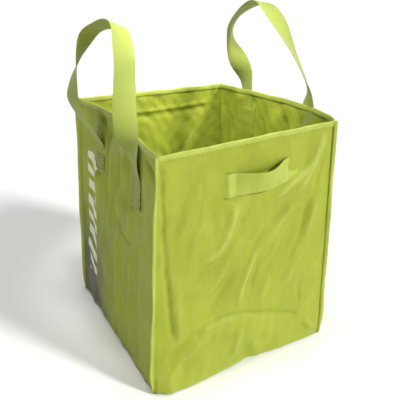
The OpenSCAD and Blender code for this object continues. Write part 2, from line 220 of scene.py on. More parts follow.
@dataclass(frozen=True)
class LaminatedPolypropylene:
    """Woven polypropylene tape fabric with a clear film pressed on: smooth and faintly glossy."""

    name: str
    colour: str
    # A paler tone: for the streaks, for stress whitening, and for the painted highlight on tape crowns,
    # ridges and seam edges
    pale_and_highlight: str
    shade: str
    roughness: float = 0.47
    # Tapes are 2.5 mm wide; drawn twice as coarse, because finer ones would not show
    tape_mm: float = 5.0
    printed: bool = False

    def make(self) -> bpy.types.Material:
        """Builds the material."""
        material, tree, place = blank_material(self.name)
        # Uneven dye and handling: broad, soft patches a hand wide
        cloud = add_node(tree, "TexNoise", {"Vector": place, "Scale": 1 / (90 * MM), "Detail": 3.0,
                                            "Roughness": 0.55}).outputs["Fac"]
        # Long faint streaks along the upright tapes, as one bobbin differs from the next
        stretched = add_node(tree, "Mapping", {"Vector": place, "Scale": (
            1 / (7 * MM), 1 / (7 * MM), 1 / (260 * MM))})
        streak = add_node(tree, "TexNoise", {"Vector": stretched.outputs[0], "Scale": 1.0,
                                             "Detail": 2.0}).outputs["Fac"]
        tapes = self.tape_pattern(tree, place)
        tint = add_node(tree, "MapRange", {"Value": cloud, "From Min": 0.3, "From Max": 0.7})
        body = add_node(tree, "Mix", {0: tint.outputs[0], 6: linear(self.shade),
                                      7: linear(self.colour)}, data_type="RGBA")
        lined = self.mixed(tree, streak, 0.42, 0.62, 0.09, body.outputs[2], self.pale_and_highlight)
        # Painted highlight: the crowns of the crossing tapes take the paler colour
        woven = self.mixed(tree, tapes, 0.0, 1.0, 0.08, lined, self.pale_and_highlight)
        # Stress whitening with a painted highlight along the sharp ridges and out along the corner seams,
        # held with the mesh
        wear_and_highlight = add_node(tree, "Attribute", attribute_name="wear_and_highlight").outputs["Fac"]
        whitened_and_lit = self.mixed(tree, wear_and_highlight, 0.0, 1.0, 0.65, woven, self.pale_and_highlight)
        if self.printed:
            whitened_and_lit = SidePrint().over(tree, place, whitened_and_lit)
        rough = add_node(tree, "MapRange", {"Value": cloud, "From Min": 0.25, "From Max": 0.75,
                                            "To Min": self.roughness - 0.06,
                                            "To Max": self.roughness + 0.08})
        weave_bump = add_node(tree, "Bump", {"Height": tapes, "Strength": 0.22, "Distance": 0.35 * MM})
        crinkle = add_node(tree, "TexNoise", {"Vector": place, "Scale": 1 / (26 * MM), "Detail": 5.0,
                                              "Roughness": 0.6}).outputs["Fac"]
        fine_bump = add_node(tree, "Bump", {"Height": crinkle, "Strength": 0.55, "Distance": 2.6 * MM,
                                            "Normal": weave_bump.outputs[0]})
        # Soft pulls that slant across the cloth, a finger wide and a hand long
        turned = add_node(tree, "Mapping", {"Vector": place, "Rotation": (0.25, -0.62, 0.0)})
        drawn = add_node(tree, "Mapping", {"Vector": turned.outputs[0], "Scale": (
            1 / (26 * MM), 1 / (26 * MM), 1 / (150 * MM))})
        pulls = add_node(tree, "TexNoise", {"Vector": drawn.outputs[0], "Scale": 1.0, "Detail": 3.0,
                                            "Roughness": 0.5, "Distortion": 0.5}).outputs["Fac"]
        bump = add_node(tree, "Bump", {"Height": pulls, "Strength": 0.6, "Distance": 5.0 * MM,
                                       "Normal": fine_bump.outputs[0]})
        shader = add_node(tree, "BsdfPrincipled", {
            "Base Color": whitened_and_lit, "Roughness": rough.outputs[0], "IOR": 1.49,
            "Specular IOR Level": 0.18, "Coat Weight": 0.01, "Coat Roughness": 0.32,
            "Normal": bump.outputs[0]})
        add_node(tree, "OutputMaterial", {"Surface": shader.outputs[0]})
        return material

    def tape_pattern(self, tree: bpy.types.NodeTree, place: bpy.types.NodeSocket) -> bpy.types.NodeSocket:
        """Draws the crossing tapes of the cloth, as high in their middles and low between them."""
        axes = add_node(tree, "SeparateXYZ", {"Vector": place})
        level = calculate(tree, "ADD", axes.outputs[0], axes.outputs[1])
        waves = []
        for source in (level, axes.outputs[2]):
            turn = calculate(tree, "MULTIPLY", source, 2 * math.pi / (self.tape_mm * MM))
            waves.append(calculate(tree, "SINE", turn))
        crossed = calculate(tree, "MULTIPLY", *waves)
        return calculate(tree, "MULTIPLY_ADD", crossed, 0.5, 0.5)

    @staticmethod
    def mixed(tree: bpy.types.NodeTree, by: bpy.types.NodeSocket, low: float, high: float,
              most: float, under: bpy.types.NodeSocket, over: str) -> bpy.types.NodeSocket:
        """Lays a colour over another where a value is high.

        Args:
            tree: The node tree.
            by: The value that says how much.
            low: Value at which none of it shows.
            high: Value at which the most of it shows.
            most: The most of it that shows.
            under: The colour below.
            over: The colour above, as sRGB hex.

        Returns:
            The mixed colour.
        """
        share = add_node(tree, "MapRange", {"Value": by, "From Min": low, "From Max": high,
                                            "To Min": 0.0, "To Max": most})
        mix = add_node(tree, "Mix", {0: share.outputs[0], 6: under, 7: linear(over)}, data_type="RGBA")
        return mix.outputs[2]


@dataclass(frozen=True)
class SidePrint:
    """Ink screen-printed on the left panel: a column of slanted bars over a dark fade."""

    ink: str = "#e3e9cb"
    fade: str = "#5b5d50"
    # The column of bars, along the panel and up it, in millimetres
    middle_y: float = 174.0
    half_width: float = 28.0
    low_z: float = 96.0
    high_z: float = 436.0
    bar_pitch: float = 42.5
    bar_share: float = 0.56
    slant: float = -0.62

    def over(self, tree: bpy.types.NodeTree, place: bpy.types.NodeSocket,
             under: bpy.types.NodeSocket) -> bpy.types.NodeSocket:
        """Prints over a colour, on the left panel's outer face only.

        Args:
            tree: The node tree.
            place: The place on the bag, in metres.
            under: The colour of the cloth.

        Returns:
            The printed colour.
        """
        axes = add_node(tree, "SeparateXYZ", {"Vector": place})
        along, height = axes.outputs[1], axes.outputs[2]
        outer = add_node(tree, "Attribute", attribute_name="left_outer").outputs["Fac"]
        rear = add_node(tree, "MapRange", {"Value": along, "From Min": -0.02, "From Max": 0.23},
                        interpolation_type="SMOOTHSTEP").outputs[0]
        low = add_node(tree, "MapRange", {"Value": height, "From Min": 0.36, "From Max": 0.02},
                       interpolation_type="SMOOTHSTEP").outputs[0]
        both = calculate(tree, "MULTIPLY", rear, low)
        cover = calculate(tree, "MULTIPLY", both, outer)
        faded = LaminatedPolypropylene.mixed(tree, cover, 0.0, 0.75, 0.92, under, self.fade)
        # Bars: a slanted saw along the height, cut off at the column's edges and ends
        lean = calculate(tree, "MULTIPLY_ADD", along, self.slant, height)
        turn = calculate(tree, "MULTIPLY", lean, 1 / (self.bar_pitch * MM))
        inked = calculate(tree, "LESS_THAN", calculate(tree, "FRACT", turn), self.bar_share)
        far = calculate(tree, "ABSOLUTE", calculate(tree, "SUBTRACT", along, self.middle_y * MM))
        near = calculate(tree, "LESS_THAN", far, self.half_width * MM)
        above = calculate(tree, "GREATER_THAN", height, self.low_z * MM)
        below = calculate(tree, "LESS_THAN", height, self.high_z * MM)
        for test in (near, above, below, outer):
            inked = calculate(tree, "MULTIPLY", inked, test)
        return LaminatedPolypropylene.mixed(tree, inked, 0.0, 1.0, 0.95, faded, self.ink)


@dataclass(frozen=True)
class PolypropyleneWebbing:
    """Heavy ribbed polypropylene webbing: dull, with ribs running along its length."""

    name: str = "ribbed_polypropylene_webbing"
    colour: str = "#9aa547"
    # Darker colour for the painted shade in the grooves, also used for the random fuzz
    groove: str = "#88933b"
    roughness: float = 0.66
    # Ribs are 2 mm apart; drawn at 3 mm, because finer ones would not show
    ribs: int = 16
    weft_mm: float = 4.0

    def make(self) -> bpy.types.Material:
        """Builds the material, whose ribs follow the attributes kept across and along the webbing."""
        material, tree, place = blank_material(self.name)
        across = add_node(tree, "Attribute", attribute_name="across").outputs["Fac"]
        along = add_node(tree, "Attribute", attribute_name="along").outputs["Fac"]
        rib = calculate(tree, "SINE", calculate(tree, "MULTIPLY", across, 2 * math.pi * self.ribs))
        # The weft shows as short steps across the ribs
        step = calculate(tree, "MULTIPLY", along, 2 * math.pi / (self.weft_mm * MM))
        woven = calculate(tree, "MULTIPLY_ADD", calculate(tree, "SINE", step), 0.25, rib)
        raised = add_node(tree, "MapRange", {"Value": woven, "From Min": -1.2, "From Max": 1.2}).outputs[0]
        fuzz = add_node(tree, "TexNoise", {"Vector": place, "Scale": 1 / (18 * MM),
                                           "Detail": 4.0}).outputs["Fac"]
        # Painted shade: the grooves between the ribs and the weft's low steps take the darker colour
        base = add_node(tree, "Mix", {0: raised, 6: linear(self.groove), 7: linear(self.colour)},
                        data_type="RGBA")
        toned = LaminatedPolypropylene.mixed(tree, fuzz, 0.45, 0.75, 0.30, base.outputs[2], self.groove)
        bump = add_node(tree, "Bump", {"Height": raised, "Strength": 0.45, "Distance": 0.6 * MM})
        shader = add_node(tree, "BsdfPrincipled", {
            "Base Color": toned, "Roughness": self.roughness, "IOR": 1.49, "Specular IOR Level": 0.3,
            "Sheen Weight": 0.12, "Sheen Roughness": 0.5, "Normal": bump.outputs[0]})
        add_node(tree, "OutputMaterial", {"Surface": shader.outputs[0]})
        return material


@dataclass(frozen=True)
class FoldedTape:
    """Plain polypropylene tape folded over an edge and sewn: like the cloth, with a dull film."""

    name: str = "folded_polypropylene_tape"
    colour: str = "#adb84e"
    shade: str = "#9eaa42"
    roughness: float = 0.55

    def make(self) -> bpy.types.Material:
        """Builds the material, with the fine cross ribs of a narrow woven tape."""
        material, tree, place = blank_material(self.name)
        patch = add_node(tree, "TexNoise", {"Vector": place, "Scale": 1 / (35 * MM),
                                            "Detail": 4.0}).outputs["Fac"]
        # Puckers where the needle drew the tape in, one every 9 mm
        pucker = add_node(tree, "TexNoise", {"Vector": place, "Scale": 1 / (9 * MM),
                                             "Detail": 2.0}).outputs["Fac"]
        tone = add_node(tree, "MapRange", {"Value": patch, "From Min": 0.35, "From Max": 0.65}).outputs[0]
        base = add_node(tree, "Mix", {0: tone, 6: linear(self.shade), 7: linear(self.colour)},
                        data_type="RGBA")
        bump = add_node(tree, "Bump", {"Height": pucker, "Strength": 0.5, "Distance": 1.0 * MM})
        shader = add_node(tree, "BsdfPrincipled", {
            "Base Color": base.outputs[2], "Roughness": self.roughness, "IOR": 1.49,
            "Specular IOR Level": 0.35, "Sheen Weight": 0.06, "Normal": bump.outputs[0]})
        add_node(tree, "OutputMaterial", {"Surface": shader.outputs[0]})
        return material


@dataclass(frozen=True)
class PolyesterThread:
    """Thick twisted polyester sewing thread: soft gloss with a slanting twist."""

    name: str = "twisted_polyester_thread"
    colour: str = "#a5b04c"
    valley: str = "#7f8a38"
    roughness: float = 0.5

    def make(self) -> bpy.types.Material:
        """Builds the material."""
        material, tree, place = blank_material(self.name)
        # The twist repeats every 1.5 mm along the thread
        twist = add_node(tree, "TexWave", {"Vector": place, "Scale": 1 / (6 * 1.5 * MM), "Distortion": 0.4},
                         bands_direction="DIAGONAL").outputs["Fac"]
        # Painted shade in the valleys of the twist, lighter on its crowns
        base = add_node(tree, "Mix", {0: twist, 6: linear(self.valley), 7: linear(self.colour)},
                        data_type="RGBA")
        bump = add_node(tree, "Bump", {"Height": twist, "Strength": 0.4, "Distance": 0.2 * MM})
        shader = add_node(tree, "BsdfPrincipled", {
            "Base Color": base.outputs[2], "Roughness": self.roughness, "IOR": 1.54,
            "Sheen Weight": 0.1, "Normal": bump.outputs[0]})
        add_node(tree, "OutputMaterial", {"Surface": shader.outputs[0]})
        return material


@dataclass
class Finishes:
    """Every finish on the bag, made once."""

    cloth: bpy.types.Material = field(default_factory=lambda: LaminatedPolypropylene(
        "laminated_woven_polypropylene", "#9da735", "#b6bf62", "#929c2d", printed=True).make())
    plain_cloth: bpy.types.Material = field(default_factory=lambda: LaminatedPolypropylene(
        "uncoated_woven_polypropylene", "#9ea93a", "#b0ba5f", "#939d31", roughness=0.6).make())
    webbing: bpy.types.Material = field(default_factory=lambda: PolypropyleneWebbing().make())
    smooth_webbing: bpy.types.Material = field(default_factory=lambda: PolypropyleneWebbing(
        "smooth_polypropylene_webbing", "#abb648", "#a4af43", 0.5).make())
    tape: bpy.types.Material = field(default_factory=lambda: FoldedTape().make())
    thread: bpy.types.Material = field(default_factory=lambda: PolyesterThread().make())


# ---------- the shape of the standing bag ----------

class Side(Enum):
    """The four sides, each with its first and last corner, its run axis and its outward sign."""

    FRONT = (0, 1, 0, -1)
    REAR = (3, 2, 0, 1)
    LEFT = (0, 3, 1, -1)
    RIGHT = (1, 2, 1, 1)

    @property
    def corners(self) -> tuple[int, int]:
        """Numbers of the first and last corner."""
        return self.value[0], self.value[1]

    @property
    def run_axis(self) -> int:
        """0 where the side runs along X and 1 where it runs along Y."""
        return self.value[2]

    @property
    def out(self) -> int:
        """Sign of the outward direction."""
        return self.value[3]


class Profile(Enum):
    """The shape of a fold, seen end on."""

    RIDGE = "a rounded rise"
    CREASE = "a narrow fold with a soft shoulder"


@dataclass(frozen=True)
class Fold:
    """One fold in a panel: where it runs, how wide and how high it is.

    Places are along the side and up it, in millimetres.
    """

    route: tuple[Point, ...]
    height: float
    width: float
    profile: Profile = Profile.RIDGE
    fade: float = 40.0
    # Stress whitening with a painted highlight along the crest, from 0 to 1
    wear_and_highlight: float = 0.0

    def lift(self, run: Array, rise: Array) -> tuple[Array, Array]:
        """Works out how far the fold lifts the cloth, and how much stress whitening with painted highlight it
        lays along its crest.

        Args:
            run: Places along the side.
            rise: Places up the side.

        Returns:
            The lift outward in millimetres, and the stress whitening with painted highlight from 0 to 1.
        """
        line = curve_through(self.route, 5)
        spans = np.linalg.norm(np.diff(line, axis=0), axis=1)
        reach = np.concatenate([[0.0], np.cumsum(spans)])
        lift = np.zeros(run.shape)
        wear_and_highlight = np.zeros(run.shape)
        margin = 3.5 * self.width
        low, high = line.min(axis=0) - margin, line.max(axis=0) + margin
        near = (run > low[0]) & (run < high[0]) & (rise > low[1]) & (rise < high[1])
        if not near.any():
            return lift, wear_and_highlight
        run, rise = run[near], rise[near]
        best = np.full(run.shape, 1e9)
        place = np.zeros(run.shape)
        for k in range(len(line) - 1):
            a, b = line[k], line[k + 1]
            way = (b - a) / max(spans[k], 1e-9)
            dx, dz = run - a[0], rise - a[1]
            t = np.clip(dx * way[0] + dz * way[1], 0, spans[k])
            ox, oz = dx - t * way[0], dz - t * way[1]
            gap = np.hypot(ox, oz)
            nearer = gap < best
            best = np.where(nearer, gap, best)
            place = np.where(nearer, reach[k] + t, place)
        ends = smooth(place, 0, self.fade) * smooth(reach[-1] - place, 0, self.fade)
        bell = np.exp(-(best / self.width) ** 2)
        if self.profile is Profile.RIDGE:
            shape = bell
        else:
            shape = 0.55 * np.exp(-best / (0.45 * self.width)) + 0.45 * bell
        sharp = np.exp(-(best / (0.5 * self.width)) ** 2)
        lift[near] = self.height * ends * shape
        wear_and_highlight[near] = self.wear_and_highlight * ends * sharp
        return lift, wear_and_highlight


@dataclass
class BagForm:
    """The surface of the standing bag. Sizes are the CAD source's, in millimetres."""

    height: float = 560.0
    base_front: float = 466.0
    base_rear: float = 450.0
    base_depth: float = 490.0
    rim_width: float = 420.0
    rim_depth: float = 486.0
    rim_lean: float = 10.0
    left_sag: float = 24.0
    right_bulge: float = 44.0
    foot_bulge: float = 20.0
    belly: float = 6.0
    # How far the rim stands above or below its nominal height at each corner
    rim_tilt: tuple[float, ...] = (-7.0, 6.0, -3.0, 3.0)
    skew: dict[Side, float] = field(default_factory=lambda: {
        Side.FRONT: 0.55, Side.REAR: 1.0, Side.LEFT: 1.67, Side.RIGHT: 0.67})
    folds: dict[Side, list[Fold]] = field(default_factory=dict)
    # Where the front foot stands further out or in than its plain bow: place along it, distance out
    foot_wave: tuple[Point, ...] = ((-233, 0), (-205, 9), (-146, 4), (-56, -6), (-8, -12), (14, -20),
                                    (34, -12), (100, -4), (192, 1.5), (233, 0))
    # Height over which the wave of the foot dies out
    foot_fade: float = 52.0
    leg_runs: tuple[float, float] = (-128.0, 128.0)
    # Where a sewn leg's hold on the cloth fades: beside it, under its foot and over its top
    hold_beside: tuple[float, float] = (24.0, 38.0)
    hold_foot: tuple[float, float] = (388.0, 404.0)
    hold_top: tuple[float, float] = (505.0, 535.0)
    ripples: int = 16
    ripple_height: float = 0.8
    # How much deeper than listed the folds of a side are
    fold_gain: dict[Side, float] = field(default_factory=lambda: {
        Side.FRONT: 1.6, Side.REAR: 1.1, Side.LEFT: 1.3, Side.RIGHT: 1.1})

    corner_side = (-1, 1, 1, -1)
    corner_end = (-1, -1, 1, 1)

    def corner(self, number: int, v: Array) -> tuple[Array, Array]:
        """Gives a corner seam's place in plan at the share v of the height."""
        half = (self.base_front if self.corner_end[number] < 0 else self.base_rear) / 2
        side, end = self.corner_side[number], self.corner_end[number]
        x = side * half * (1 - v) + (side * self.rim_width / 2 + self.rim_lean) * v
        y = end * self.base_depth / 2 * (1 - v) + end * self.rim_depth / 2 * v
        return x, y

    def run_ends(self, side: Side, v: Array) -> tuple[Array, Array]:
        """Gives the run of a side's first and last corner at the share v of the height."""
        a = self.corner(side.corners[0], v)[side.run_axis]
        b = self.corner(side.corners[1], v)[side.run_axis]
        return a, b

    def slack(self, side: Side, u: Array, v: Array) -> Array:
        """Gives how far a side stands out from its flat shape, as the CAD panel does."""
        w = np.clip(v, 0, 1)
        k = np.clip(u, 0, 1)
        depth = {Side.LEFT: -self.left_sag * w ** 1.6, Side.RIGHT: self.right_bulge * w ** 1.4,
                 Side.FRONT: self.foot_bulge * (1 - w) ** 3, Side.REAR: 0.0 * w}[side]
        out = depth * np.sin(np.pi * k ** self.skew[side])
        if side.run_axis == 0:
            out = out + self.belly * np.sin(np.pi * k) * np.sin(np.pi * w)
        if side is Side.FRONT:
            runs, waves = np.array(self.foot_wave).T
            run = (k - 0.5) * self.base_front
            wave = sum(np.interp(run + shift, runs, waves) for shift in (-9, -4, 0, 4, 9)) / 5
            out = out + wave * np.exp(-(w * self.height / self.foot_fade) ** 2)
        return out

    def place(self, side: Side, run: Array, rise: Array, off: Array | float = 0.0,
              folded: bool = True) -> Array:
        """Places points off the cloth of a side.

        Args:
            side: The side.
            run: Places along it, in millimetres.
            rise: Heights on the cloth before the rim's tilt.
            off: Distance outward from the cloth.
            folded: Whether the folds count.

        Returns:
            The points, one row each.
        """
        run, rise = np.broadcast_arrays(np.asarray(run, float), np.asarray(rise, float))
        v = rise / self.height
        first, last = side.corners
        a, b = self.corner(first, v), self.corner(last, v)
        r = side.run_axis
        u = (run - a[r]) / (b[r] - a[r])
        plain = side.out * (a[1 - r] * (1 - u) + b[1 - r] * u) + self.slack(side, u, v)
        lift = self.lift(side, run, rise)[0] if folded else 0.0
        out = side.out * (plain + lift + off)
        tilt = self.rim_tilt[first] * (1 - u) + self.rim_tilt[last] * u
        z = rise + tilt * np.clip(v, 0, 1) ** 2
        columns = (run, out) if r == 0 else (out, run)
        return np.stack([*columns, z], axis=-1)

    def lift(self, side: Side, run: Array, rise: Array) -> tuple[Array, Array]:
        """Adds up a side's folds and its uneven cloth.

        Args:
            side: The side.
            run: Places along it.
            rise: Places up it.

        Returns:
            The lift outward in millimetres, and the stress whitening with painted highlight from 0 to 1.
        """
        total = np.zeros(run.shape)
        wear_and_highlight = np.zeros(run.shape)
        for fold in self.folds.get(side, []):
            lift, fold_wear_and_highlight = fold.lift(run, rise)
            total += self.fold_gain[side] * lift
            wear_and_highlight = np.maximum(wear_and_highlight, fold_wear_and_highlight)
        a, b = self.run_ends(side, rise / self.height)
        # The folds die out at the seams and under the rim tape
        hold = smooth(run - a, 0, 8) * smooth(b - run, 0, 8)
        hold = hold * smooth(rise, 0, 8) * (1 - 0.75 * smooth(rise, self.height - 26, self.height - 8))
        total += self.rumple(side, run, rise)
        if side.run_axis == 1:
            # The sewn legs keep the cloth under them flat
            for leg in self.leg_runs:
                beside = 1 - smooth(np.abs(run - leg), *self.hold_beside)
                level = smooth(rise, *self.hold_foot) * (1 - smooth(rise, *self.hold_top))
                hold = hold * (1 - 0.92 * beside * level)
        return total * hold, wear_and_highlight * hold

    def rumple(self, side: Side, run: Array, rise: Array) -> Array:
        """Gives the small unevenness of handled cloth, as a sum of slanting ripples.

        Args:
            side: The side, which sets the seed and the way that the ripples lean.
            run: Places along it.
            rise: Places up it.

        Returns:
            The lift outward in millimetres.
        """
        order = list(Side).index(side)
        draw = np.random.default_rng(11 + order)
        lean = math.radians({Side.FRONT: -35.0, Side.REAR: 25.0, Side.LEFT: -8.0, Side.RIGHT: 4.0}[side])
        bent = run + 16 * np.sin(rise / 83 + order) + 7 * np.sin(rise / 31 + 2 * order)
        total = np.zeros(run.shape)
        for number in range(self.ripples):
            length = 26 + 95 * draw.random() ** 1.5
            angle = lean + math.radians(draw.normal(0, 24))
            phase = draw.random() * 2 * math.pi
            along = bent * math.cos(angle) + rise * math.sin(angle)
            patch = 0.5 + 0.5 * np.sin((rise * math.cos(angle) - bent * math.sin(angle)) / (length * 1.7)
                                       + 3.1 * number)
            total += self.ripple_height * (length / 70) * patch * np.sin(2 * math.pi * along / length + phase)
        return total


def front_folds() -> list[Fold]:
    """Lists the folds of the front panel, which is pulled askew between its upper right and lower left."""
    ridge, crease = Profile.RIDGE, Profile.CREASE
    # A fold's sixth number, where given, is the stress whitening with painted highlight along its crest
    return [
        # The foot: a crease across the panel, under which the cloth rolls forward
        Fold(((-200, 84), (-163, 113), (-110, 140), (-48, 150), (20, 138), (144, 92), (190, 50)),
             -4.2, 8, crease, 25),
        Fold(((-190, 70), (-140, 104), (-60, 122), (20, 104), (90, 74)), 3.6, 26, ridge, 60),
        Fold(((-213, 18), (-186, 59), (-140, 99), (-112, 112)), 3.6, 8, ridge, 30, 0.25),
        Fold(((144, 96), (180, 60), (214, 20)), 3.5, 8, ridge, 20),
        Fold(((-12, 118), (-28, 70), (-30, 30)), 4.5, 12, ridge, 24, 0.3),
        Fold(((12, 70), (4, 34), (14, 4)), -3.2, 15, ridge, 26),
        Fold(((60, 110), (40, 70), (60, 30)), -2.5, 14, ridge, 24),
        # Diagonal pulls
        Fold(((-22, 432), (-40, 395), (-60, 345), (-85, 318), (-125, 306)), 4.4, 12, ridge, 40, 0.8),
        Fold(((-2, 420), (-22, 380), (-44, 330), (-80, 292), (-150, 262)), -3.4, 11, ridge, 45),
        Fold(((190, 500), (150, 462), (100, 435), (52, 408)), 4.5, 13, ridge, 50, 0.8),
        Fold(((128, 410), (90, 376), (50, 343), (20, 308), (-6, 250)), -4.2, 10, crease, 45),
        Fold(((150, 400), (104, 362), (70, 330), (36, 290)), 2.6, 12, ridge, 45, 0.3),
        Fold(((24, 312), (10, 262), (-8, 215), (-22, 160)), 4.4, 11, ridge, 40, 0.8),
        Fold(((38, 290), (28, 240), (8, 190)), -3.0, 8, ridge, 40),
        Fold(((186, 420), (165, 360), (145, 295), (105, 225)), -3.6, 8, crease, 45),
        Fold(((196, 400), (178, 340), (158, 280)), 2.6, 8, ridge, 45, 0.4),
        Fold(((204, 548), (180, 495), (158, 455), (132, 400)), 4.4, 13, ridge, 40, 0.8),
        Fold(((208, 500), (190, 450), (176, 400)), -3.0, 8, ridge, 40),
        Fold(((150, 190), (155, 150), (160, 110)), -2.6, 6, crease, 24),
        # Fine pulls between them
        Fold(((-66, 400), (-96, 360), (-140, 336)), -2.2, 9, ridge, 40),
        Fold(((-50, 300), (-70, 250), (-110, 210)), 2.4, 10, ridge, 45, 0.3),
        Fold(((-30, 280), (-48, 232), (-84, 190)), -2.2, 10, ridge, 45),
        Fold(((100, 330), (80, 284), (52, 240)), 2.6, 10, ridge, 45, 0.4),
        Fold(((86, 300), (66, 256), (40, 216)), -2.4, 10, ridge, 45),
        Fold(((140, 250), (120, 205), (96, 168)), 2.4, 10, ridge, 45, 0.3),
        Fold(((66, 232), (50, 190), (30, 160)), 2.4, 9, ridge, 35, 0.4),
        Fold(((-140, 470), (-146, 420), (-160, 370)), 2.0, 12, ridge, 50, 0.2),
        Fold(((-100, 420), (-118, 380), (-150, 350)), 2.0, 10, ridge, 40, 0.2),
        # Broad sweep from the upper right to the lower left
        Fold(((200, 420), (90, 300), (-20, 215), (-170, 170)), -4.5, 46, ridge, 90),
        Fold(((150, 520), (0, 400), (-120, 330), (-200, 300)), 3.6, 42, ridge, 90),
        Fold(((-172, 250), (-140, 238), (-96, 240)), 1.6, 11, ridge, 34),
        # The pinch along the near seam, wider towards the foot
        Fold(((-200, 552), (-197, 470), (-194, 330), (-190, 220), (-184, 130)), -5.0, 5, crease, 20),
        Fold(((-176, 300), (-172, 220), (-168, 150), (-180, 110)), 3.0, 12, ridge, 50, 0.2),
        # Small dent left of the grab handle, and the dip over it
        Fold(((-108, 500), (-110, 445)), -2.2, 6, crease, 16),
        Fold(((-30, 481), (10, 478), (50, 481), (84, 493), (100, 505)), -4.6, 6, crease, 26),
        Fold(((-60, 446), (-48, 436), (-30, 434)), -2.4, 5, crease, 12),
        Fold(((-62, 474), (-50, 468), (-38, 470)), 1.6, 6, ridge, 10),
    ]


def left_folds() -> list[Fold]:
    """Lists the folds of the left panel, which hangs in soft upright folds from its two straps."""
    ridge, crease = Profile.RIDGE, Profile.CREASE
    return [
        # Sharp fold where the panel turns in behind its flat front strip
        Fold(((-158, 500), (-150, 420), (-136, 300), (-132, 180), (-124, 40)), -4.4, 15, crease, 60),
        Fold(((-185, 500), (-180, 400), (-178, 250), (-180, 120)), 3.0, 24, ridge, 60),
        # The straps pull the cloth out below their feet
        Fold(((-232, 520), (-222, 500), (-196, 520), (-160, 534)), -6.0, 10, crease, 16),
        Fold(((-224, 548), (-190, 552), (-150, 548)), 4.5, 10, ridge, 20),
        Fold(((-96, 530), (-104, 440), (-92, 350), (-60, 300)), 6.5, 16, ridge, 50),
        Fold(((-66, 524), (-70, 440), (-50, 370), (-22, 330)), -6.5, 13, ridge, 50),
        Fold(((-40, 524), (-36, 450), (-20, 390), (10, 330)), 5.0, 13, ridge, 50),
        Fold(((-8, 520), (2, 440), (22, 380), (40, 320)), -5.5, 14, ridge, 50),
        Fold(((40, 548), (52, 470), (44, 380), (60, 260)), 6.0, 16, ridge, 60),
        Fold(((84, 540), (88, 430), (80, 320), (92, 180)), -6.5, 16, ridge, 60),
        Fold(((150, 548), (120, 530), (90, 500), (74, 462)), -7.0, 12, crease, 26),
        Fold(((128, 500), (140, 400), (132, 280)), 5.0, 22, ridge, 60),
        Fold(((190, 540), (180, 440), (176, 300), (186, 160)), -3.0, 16, ridge, 60),
        # Lower half: a lit ridge with hollows beside it
        Fold(((-30, 322), (-14, 250), (-20, 150), (-36, 60)), 7.0, 18, ridge, 60),
        Fold(((10, 330), (-20, 312), (-66, 300), (-100, 312)), -4.5, 9, crease, 24),
        Fold(((-72, 300), (-66, 200), (-76, 90)), -6.0, 15, ridge, 60),
        Fold(((-104, 300), (-98, 200), (-100, 80)), 3.5, 12, ridge, 50),
        Fold(((30, 300), (26, 180), (16, 60)), -5.5, 17, ridge, 60),
        Fold(((84, 200), (70, 100), (60, 20)), 4.5, 18, ridge, 60),
        # Short pinches in the flat front strip
        Fold(((-184, 352), (-186, 318)), -4.5, 4, crease, 10),
        Fold(((-146, 74), (-144, 44)), -4.5, 5, crease, 10),
        Fold(((-150, 60), (-134, 36), (-120, 12)), -3.5, 8, ridge, 16),
    ]


def rear_folds() -> list[Fold]:
    """Lists the folds of the rear panel, with the line where its deep hem was pressed."""
    ridge, crease = Profile.RIDGE, Profile.CREASE
    # A fold's sixth number, where given, is the stress whitening with painted highlight along its crest
    return [
        Fold(((-150, 510), (-40, 505), (80, 507), (190, 512)), -2.5, 6, crease, 30),
        Fold(((-150, 498), (-40, 492), (80, 494), (190, 500)), 1.6, 9, ridge, 30),
        Fold(((-60, 470), (-20, 400), (40, 350), (60, 260)), 3.5, 18, ridge, 60, 0.3),
        Fold(((60, 470), (110, 400), (120, 300)), -3.5, 20, ridge, 60),
        Fold(((140, 460), (100, 380), (40, 300), (20, 200)), 3.0, 12, ridge, 60, 0.3),
        Fold(((-180, 420), (-120, 330), (-100, 200)), -4.0, 24, ridge, 70),
        Fold(((-190, 150), (-100, 120), (60, 128), (190, 110)), -5.0, 12, crease, 30),
        Fold(((-150, 250), (-40, 230), (90, 250)), 3.5, 26, ridge, 70),
    ]


def right_folds() -> list[Fold]:
    """Lists the folds of the right panel, in soft upright waves under its bowed rim."""
    ridge, crease = Profile.RIDGE, Profile.CREASE
    waves = [(-180, 5.0, 15), (-138, -5.0, 13), (-96, 5.0, 14), (-58, -6.0, 13), (-22, 6.0, 14),
             (18, -6.5, 15), (58, 5.0, 13), (92, -5.0, 13), (132, 6.0, 17), (178, -4.0, 16)]
    upright = [Fold(((run, 552), (run + 0.06 * run, 440), (run - 0.05 * run, 300), (run, 190)),
                    height, width, ridge, 70) for run, height, width in waves]
    return upright + [
        Fold(((-20, 556), (-14, 530), (-20, 500)), -3.2, 10, crease, 20),
        Fold(((-200, 140), (-90, 118), (60, 130), (200, 108)), -5.0, 12, crease, 30),
        Fold(((-120, 300), (0, 240), (120, 160)), 4.0, 24, ridge, 70),
    ]


# ---------- the cloth ----------

